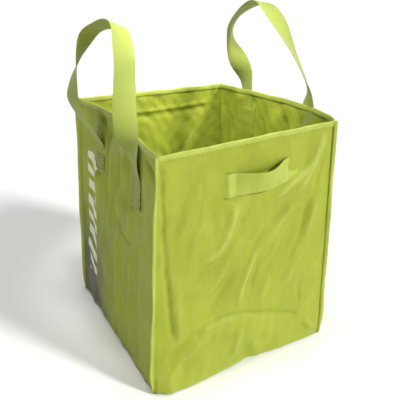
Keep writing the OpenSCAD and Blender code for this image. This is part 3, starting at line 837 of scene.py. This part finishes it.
@dataclass
class ClothBody:
    """The four panels as one lofted shell with its corner seams pinched outward, and the base."""

    form: BagForm
    finishes: Finishes
    columns: int = 118
    rows: int = 150
    thickness: float = 0.9
    corner_inset: float = 3.0
    # How far the pinched seams stand out, and which way, front left corner first
    flange: float = 9.5
    flange_way: tuple[Point, ...] = ((-0.93, -0.37), (0.95, -0.31), (0.71, 0.71), (-0.71, 0.71))
    flange_steps: tuple[float, ...] = (0.16, 0.38, 0.62, 0.86, 1.0)
    ring_sides: tuple[tuple[Side, bool], ...] = (
        (Side.FRONT, False), (Side.RIGHT, False), (Side.REAR, True), (Side.LEFT, True))

    def heights(self) -> Array:
        """Lists the heights of the shell's rows, closer together at the foot."""
        k = np.linspace(0, 1, self.rows)
        return self.form.height * (0.94 * k + 0.06 * k * k)

    def seam_wave(self, corner: int, rise: Array) -> Array:
        """Gives how far a seam wavers along its height, sideways."""
        phase = 1.7 * corner
        swing = 1.5 * np.sin(rise / 47 + phase) + 0.9 * np.sin(rise / 21 + 2.3 * phase)
        return swing * smooth(rise, 0, 60) * smooth(self.form.height - rise, 0, 60)

    def flange_point(self, corner: int, share: Array | float, rise: Array, aside: Array | float) -> Array:
        """Places points on a pinched seam.

        Args:
            corner: The corner's number.
            share: How far out along the flange, from 0 to 1.
            rise: Heights up the seam.
            aside: Distance across the flange, to the right of its way out.

        Returns:
            The points, one row each.
        """
        v = rise / self.form.height
        x, y = self.form.corner(corner, v)
        way = np.array(self.flange_way[corner])
        across = np.array([way[1], -way[0]])
        out = self.flange * np.asarray(share, float) * (0.25 + 0.75 * smooth(rise, 0, 60))
        shift = np.asarray(aside, float) + self.seam_wave(corner, rise) * np.asarray(share, float) ** 1.5
        z = rise + self.form.rim_tilt[corner] * v ** 2
        return np.stack([x + way[0] * out + across[0] * shift,
                         y + way[1] * out + across[1] * shift, z + 0 * out], axis=-1)

    def shell_rows(self) -> tuple[Array, Array, Array]:
        """Lays out the shell.

        Returns:
            The points by row and column, the stress whitening with painted highlight at each, and whether
            each is on the left panel.
        """
        rise = self.heights()
        blocks, wears_and_highlights, lefts = [], [], []
        for number, (side, back) in enumerate(self.ring_sides):
            v = rise / self.form.height
            a, b = self.form.run_ends(side, v)
            k = np.linspace(0, 1, self.columns)
            if back:
                k = k[::-1]
            low, high = a + self.corner_inset, b - self.corner_inset
            run = low[:, None] * (1 - k) + high[:, None] * k
            up = np.repeat(rise[:, None], self.columns, axis=1)
            points = self.form.place(side, run, up)
            blocks.append(points)
            wears_and_highlights.append(self.form.lift(side, run, up)[1])
            lefts.append(np.full(run.shape, 1.0 if side is Side.LEFT else 0.0))
            # Round the next corner: out along one face of its seam and back along the other
            corner = (number + 1) % 4
            for steps, face in ((self.flange_steps, -1), (self.flange_steps[::-1], 1)):
                share = np.array(steps)
                gap = 0.75 + 1.4 * np.exp(-share * 7)
                seam = self.flange_point(corner, share[None, :], rise[:, None], face * gap[None, :])
                blocks.append(seam)
                # Stress whitening with a painted highlight, growing out towards the seam's edge
                wears_and_highlights.append(np.repeat(0.35 * share[None, :], len(rise), axis=0))
                on_left = (side is Side.REAR and face > 0) or (side is Side.LEFT and face < 0)
                lefts.append(np.full(seam.shape[:2], 1.0 if on_left else 0.0))
        return np.hstack(blocks), np.hstack(wears_and_highlights), np.hstack(lefts)

    def build_shell(self) -> bpy.types.Object:
        """Builds the lofted shell, rounds its foot under and gives it its thickness."""
        points, wear_and_highlight, left = self.shell_rows()
        rows, ring = points.shape[:2]
        # The foot rounds under towards the base seam
        under = 5.0 * (1 - smooth(self.heights(), 0, 12))
        reach = np.linalg.norm(points[..., :2], axis=-1)
        points[..., :2] *= 1 - (under[:, None] / reach)[..., None]
        points[..., 2] = np.maximum(points[..., 2], 1.4)
        shell = make_piece("bag_shell", points.reshape(-1, 3), grid_faces(ring, rows, wrap=True),
                           self.finishes.cloth, sharp=180.0)
        store(shell, "wear_and_highlight", wear_and_highlight.ravel())
        store(shell, "left_outer", left.ravel())
        thick = shell.modifiers.new("thickness", "SOLIDIFY")
        thick.thickness = self.thickness * MM
        thick.offset = -1.0
        apply_modifiers(shell)
        self.clear_inside(shell)
        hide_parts("front_panel", "rear_panel", "left_panel", "right_panel")
        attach(shell, "root")
        LOG.info("shell: %d points around, %d rows", ring, rows)
        return shell

    def clear_inside(self, shell: bpy.types.Object) -> None:
        """Keeps the print off the inner face, which faces the middle of the bag."""
        mesh = shell.data
        kept = mesh.attributes["left_outer"]
        values = np.zeros(len(mesh.vertices), np.float32)
        kept.data.foreach_get("value", values)
        normal = np.zeros(len(mesh.vertices) * 3, np.float32)
        mesh.vertices.foreach_get("normal", normal)
        values *= (normal.reshape(-1, 3)[:, 0] < 0.2).astype(np.float32)
        kept.data.foreach_set("value", values)

    def build_base(self) -> bpy.types.Object:
        """Builds the base cloth, fitted inside the foot of the walls with a few soft rumples."""
        cells = 60
        # The edge lies under the foot of the walls
        inset = 3.0
        k = np.linspace(0, 1, cells)
        edges = {}
        for side in Side:
            a, b = self.form.run_ends(side, np.array(0.0))
            run = (a + inset) * (1 - k) + (b - inset) * k
            edges[side] = self.form.place(side, run, np.zeros(cells), -inset, folded=False)[:, :2]
        u, w = np.meshgrid(k, k)
        u, w = u[..., None], w[..., None]
        front, rear = edges[Side.FRONT][None, :, :], edges[Side.REAR][None, :, :]
        left, right = edges[Side.LEFT][:, None, :], edges[Side.RIGHT][:, None, :]
        flat = ((1 - w) * front + w * rear + (1 - u) * left + u * right
                - (1 - u) * (1 - w) * front[:, :1] - u * (1 - w) * front[:, -1:]
                - (1 - u) * w * rear[:, :1] - u * w * rear[:, -1:])
        edge_gap = np.minimum.reduce([u[..., 0], 1 - u[..., 0], w[..., 0], 1 - w[..., 0]])
        rumple = np.array([[noise.fractal(Vector((x / 95, y / 95, 4.0)), 0.6, 2.1, 4) for x, y in row]
                           for row in flat])
        z = 1.6 + smooth(edge_gap, 0.0, 0.08) * 5.0 * np.clip(rumple + 0.15, 0, 1)
        points = np.dstack([flat, z])
        base = make_piece("base_cloth", points.reshape(-1, 3), grid_faces(cells, cells),
                          self.finishes.plain_cloth)
        store(base, "wear_and_highlight", np.zeros(len(base.data.vertices)))
        thick = base.modifiers.new("thickness", "SOLIDIFY")
        thick.thickness = self.thickness * MM
        thick.offset = 0.0
        apply_modifiers(base)
        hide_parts("base_panel")
        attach(base, "root")
        return base

    def build(self) -> list[bpy.types.Object]:
        """Builds the shell and the base."""
        return [self.build_shell(), self.build_base()]


# ---------- tapes ----------

@dataclass
class Bindings:
    """The tape folded over the rim, the tape that closes the corner seams and the base tapes."""

    cloth: ClothBody
    finishes: Finishes
    rim_depth: float = 10.5
    rim_half: float = 1.9
    tape: float = 0.9
    stations: int = 150
    corner_names: tuple[str, ...] = ("front_left", "front_right", "rear_right", "rear_left")

    def rim_section(self) -> list[Point]:
        """Lists the folded tape's outline: distance outward from the cloth's face, and height."""
        form, half, depth = self.cloth.form, self.rim_half, self.rim_depth
        centre = -self.cloth.thickness / 2
        top = form.height - 0.2
        outer = [(centre + half + 0.5, top - depth), (centre + half + 0.9, top - depth + 1.2),
                 (centre + half + 0.5, top - depth * 0.5), (centre + half + 0.4, top - 1.6)]
        crown = [(centre + half * math.cos(a) * 1.1, top - 1.2 + half * math.sin(a) * 1.1)
                 for a in np.radians([35, 65, 90, 115, 145])]
        inner = [(2 * centre - x, z) for x, z in outer[::-1]]
        inside = [(centre - 0.8, top - depth + 0.4), (centre - 0.7, top - 2.4),
                  (centre + 0.7, top - 2.4), (centre + 0.8, top - depth + 0.4)]
        return outer + crown + inner + inside

    def build_rim(self, side: Side) -> bpy.types.Object:
        """Sweeps the folded tape along one side's rim."""
        form = self.cloth.form
        section = self.rim_section()
        a, b = form.run_ends(side, np.array(1.0))
        run = np.linspace(a - 0.5, b + 0.5, self.stations)
        rings = []
        for off, z in section:
            # Drawn in a little at each stitch, and not quite even along its lower edge
            pucker = 0.22 * np.sin(run * 2 * np.pi / 9) + 0.35 * np.sin(run / 13 + side.run_axis)
            low = 1.0 if z < form.height - 6 else 0.25
            sign = 1.0 if off > -self.cloth.thickness / 2 else -1.0
            points = form.place(side, run, np.full(run.shape, z), off + sign * low * pucker)
            points[:, 2] += 0.5 * np.sin(run / 17 + 2.0 * side.out)
            rings.append(points)
        points = np.stack(rings, axis=1)
        faces = tube_faces(len(section), self.stations)
        piece = make_piece(f"{side.name.lower()}_rim_binding", points.reshape(-1, 3), faces,
                           self.finishes.tape, sharp=60.0)
        turn_out(piece)
        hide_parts(f"{side.name.lower()}_rim_tape")
        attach(piece, "root")
        return piece

    def build_corner(self, corner: int) -> bpy.types.Object:
        """Sweeps the tape that is folded over a corner seam's raw edges."""
        rise = np.linspace(3.0, self.cloth.form.height - 4.0, self.stations)
        outline = [(0.45, -1.75), (0.62, -2.0), (0.95, -1.9), (1.12, -1.0), (1.16, 0.0), (1.12, 1.0),
                   (0.95, 1.9), (0.62, 2.0), (0.45, 1.75), (0.45, 0.0)]
        pucker = 0.2 * np.sin(rise * 2 * np.pi / 9)
        rings = [self.cloth.flange_point(corner, share, rise, aside + math.copysign(1, aside) * pucker)
                 for share, aside in outline]
        points = np.stack(rings, axis=1)
        faces = tube_faces(len(outline), self.stations)
        name = self.corner_names[corner]
        piece = make_piece(f"{name}_seam_binding", points.reshape(-1, 3), faces, self.finishes.tape)
        turn_out(piece)
        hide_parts(f"{name}_corner_tape")
        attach(piece, "root")
        return piece

    def build_base_tape(self, side: Side) -> bpy.types.Object:
        """Builds the strip of tape that covers one base seam on the inside."""
        form = self.cloth.form
        a, b = form.run_ends(side, np.array(0.0))
        run = np.linspace(a + 26, b - 26, self.stations)
        section = [(-2.4, 3.2), (-2.2, 17.0), (-3.0, 17.4), (-3.6, 3.2)]
        rings = [form.place(side, run, np.full(run.shape, z), off + 0.25 * np.sin(run / 11))
                 for off, z in section]
        points = np.stack(rings, axis=1)
        faces = tube_faces(len(section), self.stations)
        piece = make_piece(f"{side.name.lower()}_base_binding", points.reshape(-1, 3), faces,
                           self.finishes.tape)
        turn_out(piece)
        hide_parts(f"{side.name.lower()}_base_tape")
        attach(piece, "root")
        return piece

    def build(self) -> list[bpy.types.Object]:
        """Builds all the tapes."""
        made = [self.build_rim(side) for side in Side]
        made += [self.build_corner(corner) for corner in range(4)]
        made += [self.build_base_tape(side) for side in Side]
        return made


# ---------- webbing ----------

@dataclass
class WebbingStrap:
    """A length of ribbed webbing swept along a route, turning about the way that it runs."""

    width: float = 50.0
    thickness: float = 2.0
    # Points across the upper face; the edges are rounded
    across: int = 13

    def section(self) -> tuple[Array, Array, Array]:
        """Lists the outline of the webbing.

        Returns:
            The place across it from -0.5 to 0.5, the height, and the share across for the ribs.
        """
        k = np.linspace(-0.5, 0.5, self.across)
        crown = self.thickness / 2 * (1 - 0.75 * np.abs(2 * k) ** 12)
        across = np.concatenate([k, k[::-1]])
        height = np.concatenate([crown, -crown])
        return across, height, across + 0.5

    def sweep(self, name: str, centre: Array, width_way: Array, material: bpy.types.Material,
              curl: float = 0.0) -> bpy.types.Object:
        """Sweeps the webbing.

        Args:
            name: The piece's name.
            centre: The middle of each station, one row each.
            width_way: The direction of the width at each station.
            material: The finish.
            curl: How far the edges curl off the flat, in millimetres.

        Returns:
            The piece, with its places across and along kept for the ribs.
        """
        across, height, share = self.section()
        way = np.gradient(centre, axis=0)
        way /= np.linalg.norm(way, axis=1)[:, None]
        width_way = width_way / np.linalg.norm(width_way, axis=1)[:, None]
        up = np.cross(width_way, way)
        up /= np.linalg.norm(up, axis=1)[:, None]
        bow = curl * (2 * across) ** 2
        points = (centre[:, None, :] + width_way[:, None, :] * (across * self.width)[None, :, None]
                  + up[:, None, :] * (height + bow)[None, :, None])
        rows, n = points.shape[:2]
        piece = make_piece(name, points.reshape(-1, 3), tube_faces(n, rows), material, sharp=55.0)
        turn_out(piece)
        run = np.concatenate([[0], np.cumsum(np.linalg.norm(np.diff(centre, axis=0), axis=1))])
        store(piece, "across", np.tile(share, rows))
        store(piece, "along", np.repeat(run * MM, n))
        return piece


@dataclass
class CarryLoop:
    """One carrying loop: sewn legs on a side and the free arch between them, in one length."""

    name: str
    side: Side
    form: BagForm
    finishes: Finishes
    # [x, y, z, turn of the width from X in degrees] of the free arch
    arch: tuple[tuple[float, float, float, float], ...]
    sewn_low: float = 405.0
    sewn_high: float = 470.0
    seat: float = 1.0
    # Height over which the webbing bends when the loop swings
    bend_low: float = 528.0
    bend_high: float = 612.0
    strap: WebbingStrap = field(default_factory=WebbingStrap)
    steps: int = 9

    def leg_rows(self, run: float) -> list[tuple[float, float, float, float]]:
        """Lists the stations of a sewn leg, from its foot up."""
        rows = []
        half = self.strap.width / 2
        for z in (self.sewn_low, (self.sewn_low + self.sewn_high) / 2, self.sewn_high):
            x, y, height = self.form.place(self.side, np.array(run), np.array(z), self.seat, folded=False)
            beside = self.form.place(self.side, np.array([run - half, run + half]), np.array(z), folded=False)
            across = (beside[1] - beside[0]) * self.side.out
            turn = math.degrees(math.atan2(across[1], across[0]))
            rows.append((float(x), float(y), float(height), turn))
        return rows

    def build(self) -> bpy.types.Object:
        """Sweeps the loop from one foot over the arch to the other, and lets it bend at the rim."""
        rows = self.leg_rows(self.form.leg_runs[0]) + list(self.arch)
        tail = self.leg_rows(self.form.leg_runs[1])[::-1]
        # The second leg is swept downward, so its turn counts the other way
        rows += [(x, y, z, -turn - 180 * round((-turn - self.arch[-1][3]) / 180)) for x, y, z, turn in tail]
        stations = curve_through(rows, self.steps)
        centre = stations[:, :3]
        way = np.gradient(centre, axis=0)
        way /= np.linalg.norm(way, axis=1)[:, None]
        flat = np.array([1.0, 0.0, 0.0]) - way * way[:, :1]
        flat /= np.linalg.norm(flat, axis=1)[:, None]
        rise = np.cross(way, flat)
        turn = np.radians(stations[:, 3])[:, None]
        width_way = flat * np.cos(turn) + rise * np.sin(turn)
        piece = self.strap.sweep(f"{self.name}_webbing", centre, width_way, self.finishes.webbing, curl=0.7)
        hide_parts(f"{self.name}_front_leg", f"{self.name}_rear_leg", f"{self.name}_handle_loop")
        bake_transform(piece)
        LOG.info("%s: %d stations", piece.name, len(centre))
        return piece


@dataclass
class GrabHandle:
    """The strap across the front, sewn at both ends and bowed out between them."""

    form: BagForm
    finishes: Finishes
    middle: float = 32.0
    drop: float = 92.0
    span: float = 128.0
    end: float = 28.0
    bow: float = 26.0
    seat: float = 0.7
    tuck: float = 2.8
    # Distance from the strap's middle of the lines that give its lean
    edge: float = 20.0
    # How much of the left and of the right end lies under the cloth
    hidden: tuple[float, float] = (3.0, 24.0)
    # The right end is sewn higher than the left
    right_rise: float = 10.0
    strap: WebbingStrap = field(default_factory=WebbingStrap)
    stations: int = 46

    def half(self, name: str, start: float, stop: float, nodes: Sequence[str]) -> bpy.types.Object:
        """Sweeps one half of the strap, from its sewn end to the middle.

        Args:
            name: The piece's name.
            start: Place of the sewn end along the front.
            stop: Place of the middle.
            nodes: The CAD nodes that it stands for.

        Returns:
            The half, which turns with the handle towards its middle.
        """
        run = np.linspace(start, stop, self.stations)
        first = self.middle - self.span / 2
        k = np.clip((run - first) / self.span, 0, 1)
        bow = self.bow * np.sin(np.pi * k) ** 1.1
        # The very ends are tucked into the cloth
        hidden = self.hidden[0] if stop > start else self.hidden[1]
        bow = bow - self.tuck * (1 - smooth(np.abs(run - start), hidden, hidden + 9))
        height = self.form.height - self.drop + self.right_rise * smooth(k, 0.45, 1.1)
        # The top edge leans out and the lower edge stays near the cloth
        centre = self.form.place(Side.FRONT, run, height, self.seat + 0.76 * bow)
        low = self.form.place(Side.FRONT, run, height - self.edge, self.seat + 0.48 * bow - 0.5)
        high = self.form.place(Side.FRONT, run, height + self.edge, self.seat + 1.04 * bow)
        piece = self.strap.sweep(name, centre, high - low, self.finishes.smooth_webbing)
        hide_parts(*nodes)
        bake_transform(piece)
        return piece

    def build(self) -> list[bpy.types.Object]:
        """Builds both halves."""
        left = self.middle - self.span / 2 - self.end
        right = self.middle + self.span / 2 + self.end
        return [self.half("grab_webbing_left", left, self.middle, ["grab_left_end", "grab_strap"]),
                self.half("grab_webbing_right", right, self.middle, ["grab_right_end"])]


# ---------- patches and thread ----------

# The sewn legs: name, side and place along it
LEGS = (("left_front", Side.LEFT, -128.0), ("left_rear", Side.LEFT, 128.0),
        ("right_front", Side.RIGHT, -128.0), ("right_rear", Side.RIGHT, 128.0))


@dataclass
class Patches:
    """Squares of cloth sewn inside, behind each leg and behind the grab handle."""

    cloth: ClothBody
    finishes: Finishes
    half_webbing: float = 25.0
    spare: float = 8.0
    leg_rise: Point = (397.0, 513.0)
    grab_run: Point = (-66.0, 130.0)
    grab_rise: Point = (437.0, 499.0)

    def build_patch(self, name: str, side: Side, run: Point, rise: Point) -> bpy.types.Object:
        """Builds a patch with a turned edge, lying against the inside of a panel."""
        form = self.cloth.form
        k = np.linspace(0, 1, 22)
        u, w = np.meshgrid(k, k)
        along = run[0] + (run[1] - run[0]) * u
        up = rise[0] + (rise[1] - rise[0]) * w
        edge = np.minimum.reduce([u, 1 - u, w, 1 - w])
        puff = 0.9 * smooth(edge, 0.02, 0.07) * (1 - smooth(edge, 0.07, 0.16))
        inner = form.place(side, along, up, -self.cloth.thickness - 1.3 - puff)
        outer = form.place(side, along, up, -self.cloth.thickness - 0.35)
        n = len(k)
        points = np.vstack([inner.reshape(-1, 3), outer.reshape(-1, 3)])
        faces = grid_faces(n, n) + grid_faces(n, n, start=n * n)
        ring = ([j for j in range(n - 1)] + [j * n + n - 1 for j in range(n - 1)]
                + [n * n - 1 - j for j in range(n - 1)] + [(n - 1 - j) * n for j in range(n - 1)])
        faces += [(ring[i], ring[(i + 1) % len(ring)], n * n + ring[(i + 1) % len(ring)], n * n + ring[i])
                  for i in range(len(ring))]
        piece = make_piece(f"{name}_backing", points, faces, self.finishes.plain_cloth)
        turn_out(piece)
        store(piece, "wear_and_highlight", np.zeros(len(piece.data.vertices)))
        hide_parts(f"{name}_patch")
        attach(piece, "root")
        return piece

    def build(self) -> list[bpy.types.Object]:
        """Builds the five patches."""
        half = self.half_webbing + self.spare
        made = []
        for name, side, run in LEGS:
            made.append(self.build_patch(name, side, (run - half, run + half), self.leg_rise))
        made.append(self.build_patch("grab", Side.FRONT, self.grab_run, self.grab_rise))
        return made


@dataclass
class Thread:
    """Rows of single stitches, each a short rounded bead of thread sunk at both ends."""

    form: BagForm
    finishes: Finishes
    length: float = 5.0
    pitch: float = 9.0
    thickness: float = 1.0
    half_webbing: float = 25.0
    margin: float = 5.0
    leg_rise: Point = (410.0, 472.0)
    # Distance outward of the stitches of the legs, of the grab handle and of the rim
    leg_off: float = 3.3
    grab_off: float = 2.7
    rim_off: float = 1.9
    grab_runs: tuple[float, ...] = (-54.0, -39.0, 103.0, 119.0)
    grab_rise: Point = (450.0, 486.0)
    grab_right_rise: float = 9.0
    rim_drop: float = 8.4
    rim_end: float = 14.0
    # Points around a stitch, and rings along it
    around: int = 6
    along: int = 7

    def bead(self, run: float, rise: float, angle: float, off: float) -> Array:
        """Lists the points of one stitch, a rounded bar that dips into the cloth at its ends.

        Args:
            run: The stitch's middle, along its side.
            rise: The stitch's middle, up its side.
            angle: The way it lies, from the run, in radians.
            off: Distance of the cloth that it lies on from the panel.

        Returns:
            Run, rise and distance outward for each point.
        """
        way = np.array([math.cos(angle), math.sin(angle)])
        over = np.array([-way[1], way[0]])
        turns = np.radians(np.arange(0, 360, 360 / self.around))
        rows = []
        for s in np.linspace(-1, 1, self.along):
            radius = self.thickness / 2 * math.sqrt(max(1 - (abs(s) ** 3) * 0.75, 0.05))
            lift = off + self.thickness * (0.30 - 0.75 * s ** 4)
            spot = np.array([run, rise]) + way * s * self.length / 2
            rows += [(*(spot + over * radius * math.cos(t)), lift + radius * math.sin(t)) for t in turns]
        return np.array(rows)

    def line(self, start: Point, stop: Point, off: float) -> list[Array]:
        """Lists the stitches of a straight row."""
        a, b = np.array(start, float), np.array(stop, float)
        span = float(np.linalg.norm(b - a))
        count = max(1, round(span / self.pitch))
        angle = math.atan2(b[1] - a[1], b[0] - a[0])
        spots = [a + (b - a) * (i + 0.5) / count for i in range(count)]
        return [self.bead(float(p[0]), float(p[1]), angle, off) for p in spots]

    def box(self, run: Point, rise: Point, off: float) -> list[Array]:
        """Lists the stitches of a crossed box."""
        (x0, x1), (z0, z1) = run, rise
        made = []
        for start, stop in (((x0, z0), (x1, z0)), ((x0, z1), (x1, z1)), ((x0, z0), (x0, z1)),
                            ((x1, z0), (x1, z1)), ((x0, z0), (x1, z1)), ((x0, z1), (x1, z0))):
            made += self.line(start, stop, off)
        return made

    def piece(self, name: str, side: Side, beads: list[Array], nodes: Sequence[str],
              folded: bool) -> bpy.types.Object:
        """Joins the stitches of a side into one piece.

        Args:
            name: The piece's name.
            side: The side that they lie on.
            beads: The stitches.
            nodes: The CAD nodes that they stand for.
            folded: Whether they follow the folds, as they do on cloth but not on webbing.

        Returns:
            The piece.
        """
        ring, long = self.around, self.along
        faces: list[tuple[int, ...]] = []
        for k in range(len(beads)):
            start = k * ring * long
            last = start + ring * (long - 1)
            faces += grid_faces(ring, long, start=start, wrap=True)
            faces += [tuple(start + i for i in range(ring - 1, -1, -1)), tuple(last + i for i in range(ring))]
        spots = np.vstack(beads)
        points = self.form.place(side, spots[:, 0], spots[:, 1], spots[:, 2], folded=folded)
        piece = make_piece(name, points, faces, self.finishes.thread)
        turn_out(piece)
        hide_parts(*nodes)
        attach(piece, "root")
        return piece

    def build(self) -> list[bpy.types.Object]:
        """Builds the stitching of the legs, of the grab handle's ends and under the rim."""
        made = []
        half = self.half_webbing - self.margin
        for name, side, run in LEGS:
            beads = self.box((run - half, run + half), self.leg_rise, self.leg_off)
            made.append(self.piece(f"{name}_thread", side, beads, [f"{name}_stitching"], folded=False))
        beads = []
        for run in self.grab_runs:
            rise = 0.0 if run < 0 else self.grab_right_rise
            beads += self.line((run, self.grab_rise[0] + rise), (run, self.grab_rise[1] + rise),
                               self.grab_off)
        made.append(self.piece("grab_thread", Side.FRONT, beads, ["grab_stitching"], folded=False))
        for side in Side:
            a, b = self.form.run_ends(side, np.array(1.0))
            rise = self.form.height - self.rim_drop
            beads = self.line((float(a) + self.rim_end, rise), (float(b) - self.rim_end, rise),
                              self.rim_off)
            name = side.name.lower()
            made.append(self.piece(f"{name}_rim_thread", side, beads, [f"{name}_rim_stitching"], folded=True))
        return made


# ---------- the studio ----------

@dataclass
class Studio:
    """A pale floor, soft lights and the camera."""

    camera_at: tuple[float, float, float] = (-0.616, -1.164, 0.903)
    azimuth: float = 28.65
    elevation: float = 23.49
    lens: float = 51.14
    sensor: float = 36.0
    floor_reach: float = 45000.0
    floor_colour: str = "#f4f4f2"
    key: float = 2.85
    overhead: float = 1.65
    mouth: float = 50.0
    sky_towards: tuple[float, float, float] = (0.62, -0.35, 0.70)
    sky_low: float = 0.01
    sky_high: float = 0.16
    # Sine of the angle that the white backdrop rises to
    backdrop_sine: float = 0.16

    def build_camera(self) -> None:
        """Makes the camera, looking at the bag's near corner from above."""
        data = bpy.data.cameras.new("camera")
        data.lens = self.lens
        data.sensor_width = self.sensor
        data.clip_start = 0.05
        camera = bpy.data.objects.new("camera", data)
        bpy.context.scene.collection.objects.link(camera)
        az, el = math.radians(self.azimuth), math.radians(self.elevation)
        way = Vector((math.sin(az) * math.cos(el), math.cos(az) * math.cos(el), -math.sin(el)))
        camera.location = self.camera_at
        camera.rotation_euler = way.to_track_quat("-Z", "Y").to_euler()
        bpy.context.scene.camera = camera

    def build_floor(self) -> None:
        """Makes the pale floor."""
        material = bpy.data.materials.new("matt_white_paint")
        material.use_nodes = True
        shader = material.node_tree.nodes["Principled BSDF"]
        shader.inputs["Base Color"].default_value = linear(self.floor_colour)
        shader.inputs["Roughness"].default_value = 0.9
        reach = self.floor_reach
        points = np.array([(-reach, -reach, 0), (reach, -reach, 0), (reach, reach, 0), (-reach, reach, 0)])
        floor = make_piece("floor", points, [(0, 1, 2, 3)], material)

    def add_light(self, kind: str, at: Sequence[float], aim: Sequence[float],
                  power: float) -> bpy.types.Light:
        """Adds a light.

        Args:
            kind: SPOT or SUN, as Blender names them.
            at: Where it stands, in metres; for a sun only the direction counts.
            aim: What it is aimed at, in metres.
            power: Its strength.

        Returns:
            The light's data, so that its softness can be set.
        """
        data = bpy.data.lights.new(f"light_{kind.lower()}", kind)
        data.energy = power
        light = bpy.data.objects.new(data.name, data)
        bpy.context.scene.collection.objects.link(light)
        light.location = at
        light.rotation_euler = (Vector(aim) - Vector(at)).to_track_quat("-Z", "Y").to_euler()
        return data

    def build_sky(self) -> None:
        """Makes the room's own light, brighter at the front right and overhead than at the left."""
        world = bpy.data.worlds.new("studio_sky")
        world.use_nodes = True
        tree = world.node_tree
        background = tree.nodes["Background"]
        background.inputs["Color"].default_value = (1.0, 1.0, 1.0, 1.0)
        way = add_node(tree, "TexCoord").outputs["Generated"]
        facing = add_node(tree, "VectorMath", {0: way, 1: self.sky_towards}, operation="DOT_PRODUCT")
        share = add_node(tree, "MapRange", {"Value": facing.outputs["Value"], "From Min": -0.6,
                                            "From Max": 1.0, "To Min": self.sky_low,
                                            "To Max": self.sky_high})
        # A white backdrop all round, low enough to leave the light on the bag as it is
        height = add_node(tree, "SeparateXYZ", {"Vector": way}).outputs[2]
        backdrop = add_node(tree, "MapRange", {"Value": height, "From Min": self.backdrop_sine,
                                               "From Max": self.backdrop_sine + 0.08, "To Min": 1.0,
                                               "To Max": 0.0}, interpolation_type="SMOOTHSTEP")
        seen = calculate(tree, "MAXIMUM", share.outputs[0], backdrop.outputs[0])
        tree.links.new(seen, background.inputs["Strength"])
        bpy.context.scene.world = world

    def build_lights(self) -> None:
        """Makes the key light at the front, the two lights from above and the sky."""
        self.add_light("SUN", (1.5, -2.5, 2.2), (0, 0, 0.3), self.key).angle = math.radians(9)
        self.add_light("SUN", (0.05, 0.0, 4.0), (0, 0, 0.3), self.overhead).angle = math.radians(30)
        # Falls through the mouth on the far walls only
        mouth = self.add_light("SPOT", (-0.10, -0.10, 1.30), (0.12, 0.10, 0.30), self.mouth)
        mouth.spot_size = math.radians(48)
        mouth.spot_blend = 0.6
        mouth.shadow_soft_size = 0.12
        self.build_sky()
        bpy.context.scene.view_settings.view_transform = "Standard"

    def build(self) -> None:
        """Builds the studio."""
        self.build_camera()
        self.build_floor()
        self.build_lights()


def left_loop(form: BagForm, finishes: Finishes) -> CarryLoop:
    """Gives the left loop, which stands up and leans in over the mouth."""
    arch = ((-202, -122, 506, -98), (-206, -92, 578, -24), (-190, -58, 655, 6), (-178, -32, 713, 12),
            (-169, 18, 762, 27), (-188, 68, 757, 14), (-207, 102, 737, -10), (-227, 116, 690, -52),
            (-243, 119, 640, -88), (-250, 117, 591, -105), (-226, 125, 536, -100))
    return CarryLoop("left", Side.LEFT, form, finishes, arch)


def right_loop(form: BagForm, finishes: Finishes) -> CarryLoop:
    """Gives the right loop, which is taller and twists as it comes down."""
    arch = ((262, -101, 562, 85), (272, -78, 612, 50), (264, -25, 684, 33), (251, 33, 758, 2),
            (237, 91, 790, 11), (210, 157, 744, -27), (211, 176, 684, -33), (246, 156, 597, 71),
            (245, 140, 543, 92))
    return CarryLoop("right", Side.RIGHT, form, finishes, arch)


def main() -> None:
    """Builds the bag and the studio, and logs the faces of each piece."""
    logging.basicConfig(level=logging.INFO)
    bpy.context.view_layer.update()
    finishes = Finishes()
    form = BagForm(folds={Side.FRONT: front_folds(), Side.LEFT: left_folds(),
                          Side.REAR: rear_folds(), Side.RIGHT: right_folds()})
    Studio().build()
    cloth = ClothBody(form, finishes)
    made = cloth.build()
    made += Bindings(cloth, finishes).build()
    made += [left_loop(form, finishes).build(), right_loop(form, finishes).build()]
    made += GrabHandle(form, finishes).build()
    made += Patches(cloth, finishes).build()
    made += Thread(form, finishes).build()
    for piece in made:
        LOG.info("%s: %d faces", piece.name, len(piece.data.polygons))


if __name__ == "__main__":
    main()
